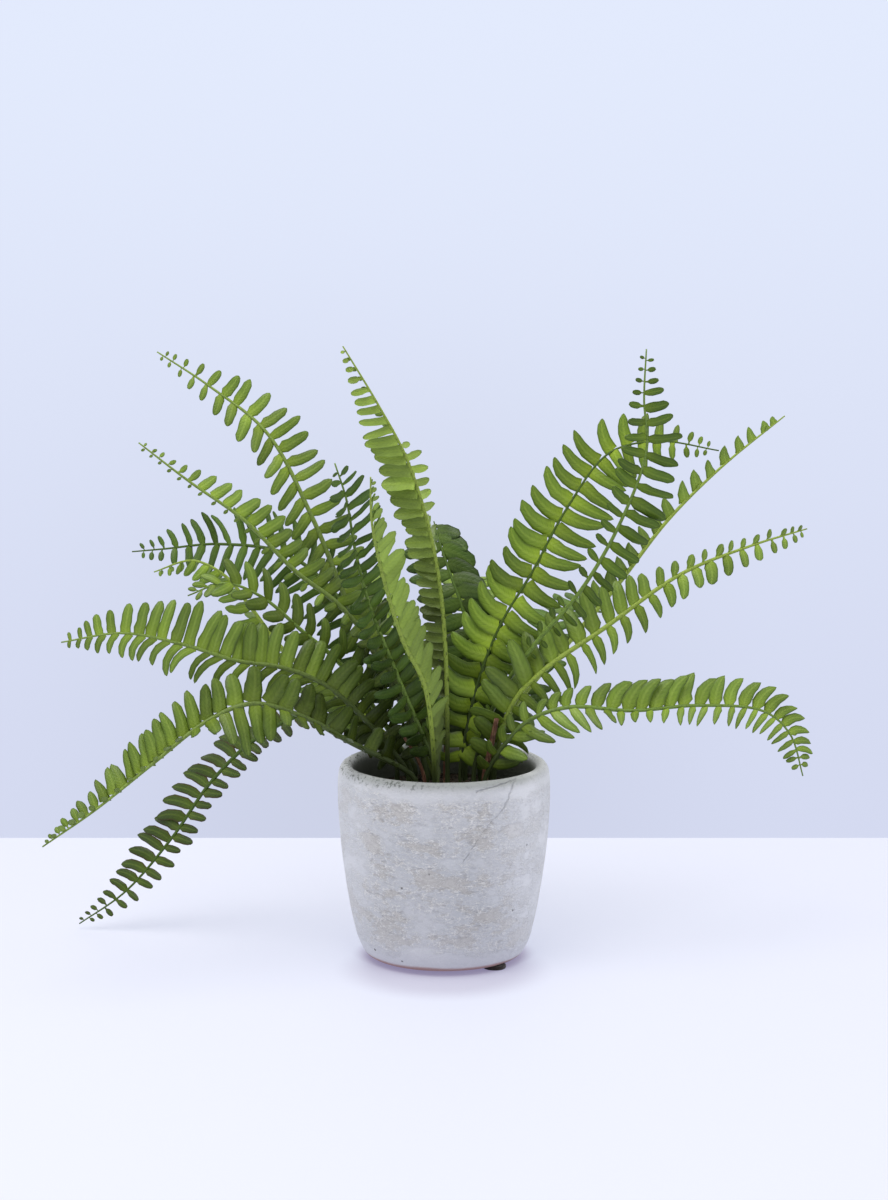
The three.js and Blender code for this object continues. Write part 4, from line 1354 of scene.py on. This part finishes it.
def build_fronds(settings):
    """All fronds. The ribs and stubs are in place before the first leaflet looks for room."""
    room = Room()
    for node, plan in FRONDS.items():
        curve = Rib(plan, settings.rib_radius).curve
        room.keep(curve.points, node, Room.RIB_GAP)
    for node, plan in STUBS.items():
        foot, top = Vector((*plan["foot"], SOIL_CROWN)), Vector(plan["top"])
        room.keep([foot.lerp(top, i / 20) for i in range(21)], node, Room.RIB_GAP)
    blanks = {side: leaflet_blank(side < 0) for side in (-1, 1)}
    for node in FRONDS:
        build_frond(node, settings, room, blanks)


def build_table(settings):
    """The table. It gives off a little light, less where the pot shades it."""
    bm = bmesh.new()
    bmesh.ops.create_grid(bm, x_segments=1, y_segments=1, size=TABLE_HALF)
    bmesh.ops.translate(bm, verts=bm.verts, vec=(0, settings.table_end - TABLE_HALF, 0))
    table = add_object("table", finish_mesh(bm, "table"))
    material, nodes, surface, place = new_material("white_table", specular=0.2)
    cloud = nodes.noise(place, 3.0)
    body = nodes.blend(cloud * 0.04, settings.table, settings.table_cloud)
    front = nodes.vector("DISTANCE", place, (0, -0.031, 0)).step(0.064, 0.036) * 0.55
    below = nodes.vector("LENGTH", place).step(0.054, 0.042) * 0.7
    glow = nodes.blend(front.larger(below), settings.table_glow, settings.table_shade)
    nodes.feed(surface.inputs["Emission Color"], glow)
    nodes.feed(surface.inputs["Emission Strength"], 1.0)
    wear(nodes, surface, body, cloud * 0.05 + 0.6, cloud, distance=0.0001)
    table.data.materials.append(material)


def build_backdrop(settings):
    """The backdrop that the camera sees, and the light that comes from all round."""
    world = bpy.data.worlds.new("backdrop")
    bpy.context.scene.world = world
    nodes = empty_nodes(world)
    side, depth, height = nodes.split(nodes.out("ShaderNodeTexCoord", output="Generated"))
    seen = nodes.blend(height.step(-0.26, 0.07), settings.low, settings.high)
    shadow = abs(side + 0.02).step(0.14, 0.02) * height.step(-0.02, -0.20)
    seen = nodes.blend(shadow * 0.08, seen, (0, 0, 0, 1))
    level = nodes.blend(depth.step(-0.3, -0.95), settings.side_light, settings.front_light)
    light = nodes.blend(height.step(0.1, 0.9), level, settings.top_light)
    seen, light = (nodes.out("ShaderNodeBackground", {"Color": c}) for c in (seen, light))
    ray = nodes.out("ShaderNodeLightPath", output="Is Camera Ray")
    both = nodes.out("ShaderNodeMixShader", {0: ray, 1: light, 2: seen})
    nodes.add("ShaderNodeOutputWorld", {"Surface": both})


def build_softbox(settings):
    """A softbox above the front left of the plant."""
    lamp = bpy.data.lights.new("softbox_above", "AREA")
    lamp.size = 1.0
    lamp.energy = settings.power
    lamp.color = (1.0, 0.985, 0.97)
    box = add_object("softbox_above", lamp)
    box.location = SOFTBOX_PLACE
    ahead = Vector(SOFTBOX_AIM) - Vector(SOFTBOX_PLACE)
    box.rotation_euler = ahead.to_track_quat("-Z", "Y").to_euler()


def build_camera(settings):
    """The camera that took the photo, as worked out from the pot."""
    lens = bpy.data.cameras.new("view")
    lens.lens = settings.lens
    lens.sensor_width = 36
    lens.clip_start = 0.05
    lens.clip_end = 50
    camera = add_object("view", lens)
    camera.location = (0, -settings.distance, settings.height)
    camera.rotation_euler = (math.pi / 2 - settings.down, 0, 0)
    bpy.context.scene.camera = camera
    bpy.context.scene.view_settings.view_transform = "Standard"


def build_stage(settings):
    """The table, backdrop, light and camera."""
    for build in (build_table, build_backdrop, build_softbox, build_camera):
        build(settings)


class FERN_OT_pot(bpy.types.Operator):
    """Build the cement pot"""

    bl_idname = "fern.pot"
    bl_label = "Cement pot"

    def execute(self, context):
        build_pot(context.scene.fern.pot)
        return {"FINISHED"}


class FERN_OT_soil(bpy.types.Operator):
    """Build the soil with its crumbs"""

    bl_idname = "fern.soil"
    bl_label = "Soil"

    def execute(self, context):
        build_soil(context.scene.fern.soil)
        return {"FINISHED"}


class FERN_OT_pads(bpy.types.Operator):
    """Build the felt pads"""

    bl_idname = "fern.pads"
    bl_label = "Felt pads"

    def execute(self, context):
        build_pads(context.scene.fern.pads)
        return {"FINISHED"}


class FERN_OT_stubs(bpy.types.Operator):
    """Build the old brown stubs"""

    bl_idname = "fern.stubs"
    bl_label = "Old stubs"

    def execute(self, context):
        build_stubs(context.scene.fern.stubs)
        return {"FINISHED"}


class FERN_OT_fronds(bpy.types.Operator):
    """Build the fronds, leaflet by leaflet"""

    bl_idname = "fern.fronds"
    bl_label = "Fronds"

    def execute(self, context):
        build_fronds(context.scene.fern.fronds)
        return {"FINISHED"}


class FERN_OT_stage(bpy.types.Operator):
    """Set the table, the backdrop, the lights and the camera"""

    bl_idname = "fern.stage"
    bl_label = "Stage"

    def execute(self, context):
        build_stage(context.scene.fern.stage)
        return {"FINISHED"}


OPERATORS = (
    FERN_OT_stage, FERN_OT_pot, FERN_OT_soil, FERN_OT_pads, FERN_OT_stubs, FERN_OT_fronds
)


class FERN_PT_panel(bpy.types.Panel):
    """Lists what can be built"""

    bl_label = "Potted fern"
    bl_idname = "FERN_PT_panel"
    bl_space_type = "VIEW_3D"
    bl_region_type = "UI"
    bl_category = "Fern"

    def draw(self, context):
        settings = context.scene.fern
        for operator in OPERATORS:
            self.layout.operator(operator.bl_idname)
        for part in settings.__annotations__:
            group = getattr(settings, part)
            box = self.layout.box()
            for name in group.__annotations__:
                box.prop(group, name)


SETTINGS = (
    PotSettings, SoilSettings, PadSettings, StubSettings, FrondSettings, StageSettings, FernSettings
)


def register():
    for kind in (*SETTINGS, *OPERATORS, FERN_PT_panel):
        bpy.utils.register_class(kind)
    bpy.types.Scene.fern = PointerProperty(type=FernSettings)


def unregister():
    del bpy.types.Scene.fern
    for kind in reversed((*SETTINGS, *OPERATORS, FERN_PT_panel)):
        bpy.utils.unregister_class(kind)


def main():
    """Builds everything."""
    register()
    for operator in OPERATORS:
        group, name = operator.bl_idname.split(".")
        getattr(getattr(bpy.ops, group), name)()


if __name__ == "__main__":
    main()
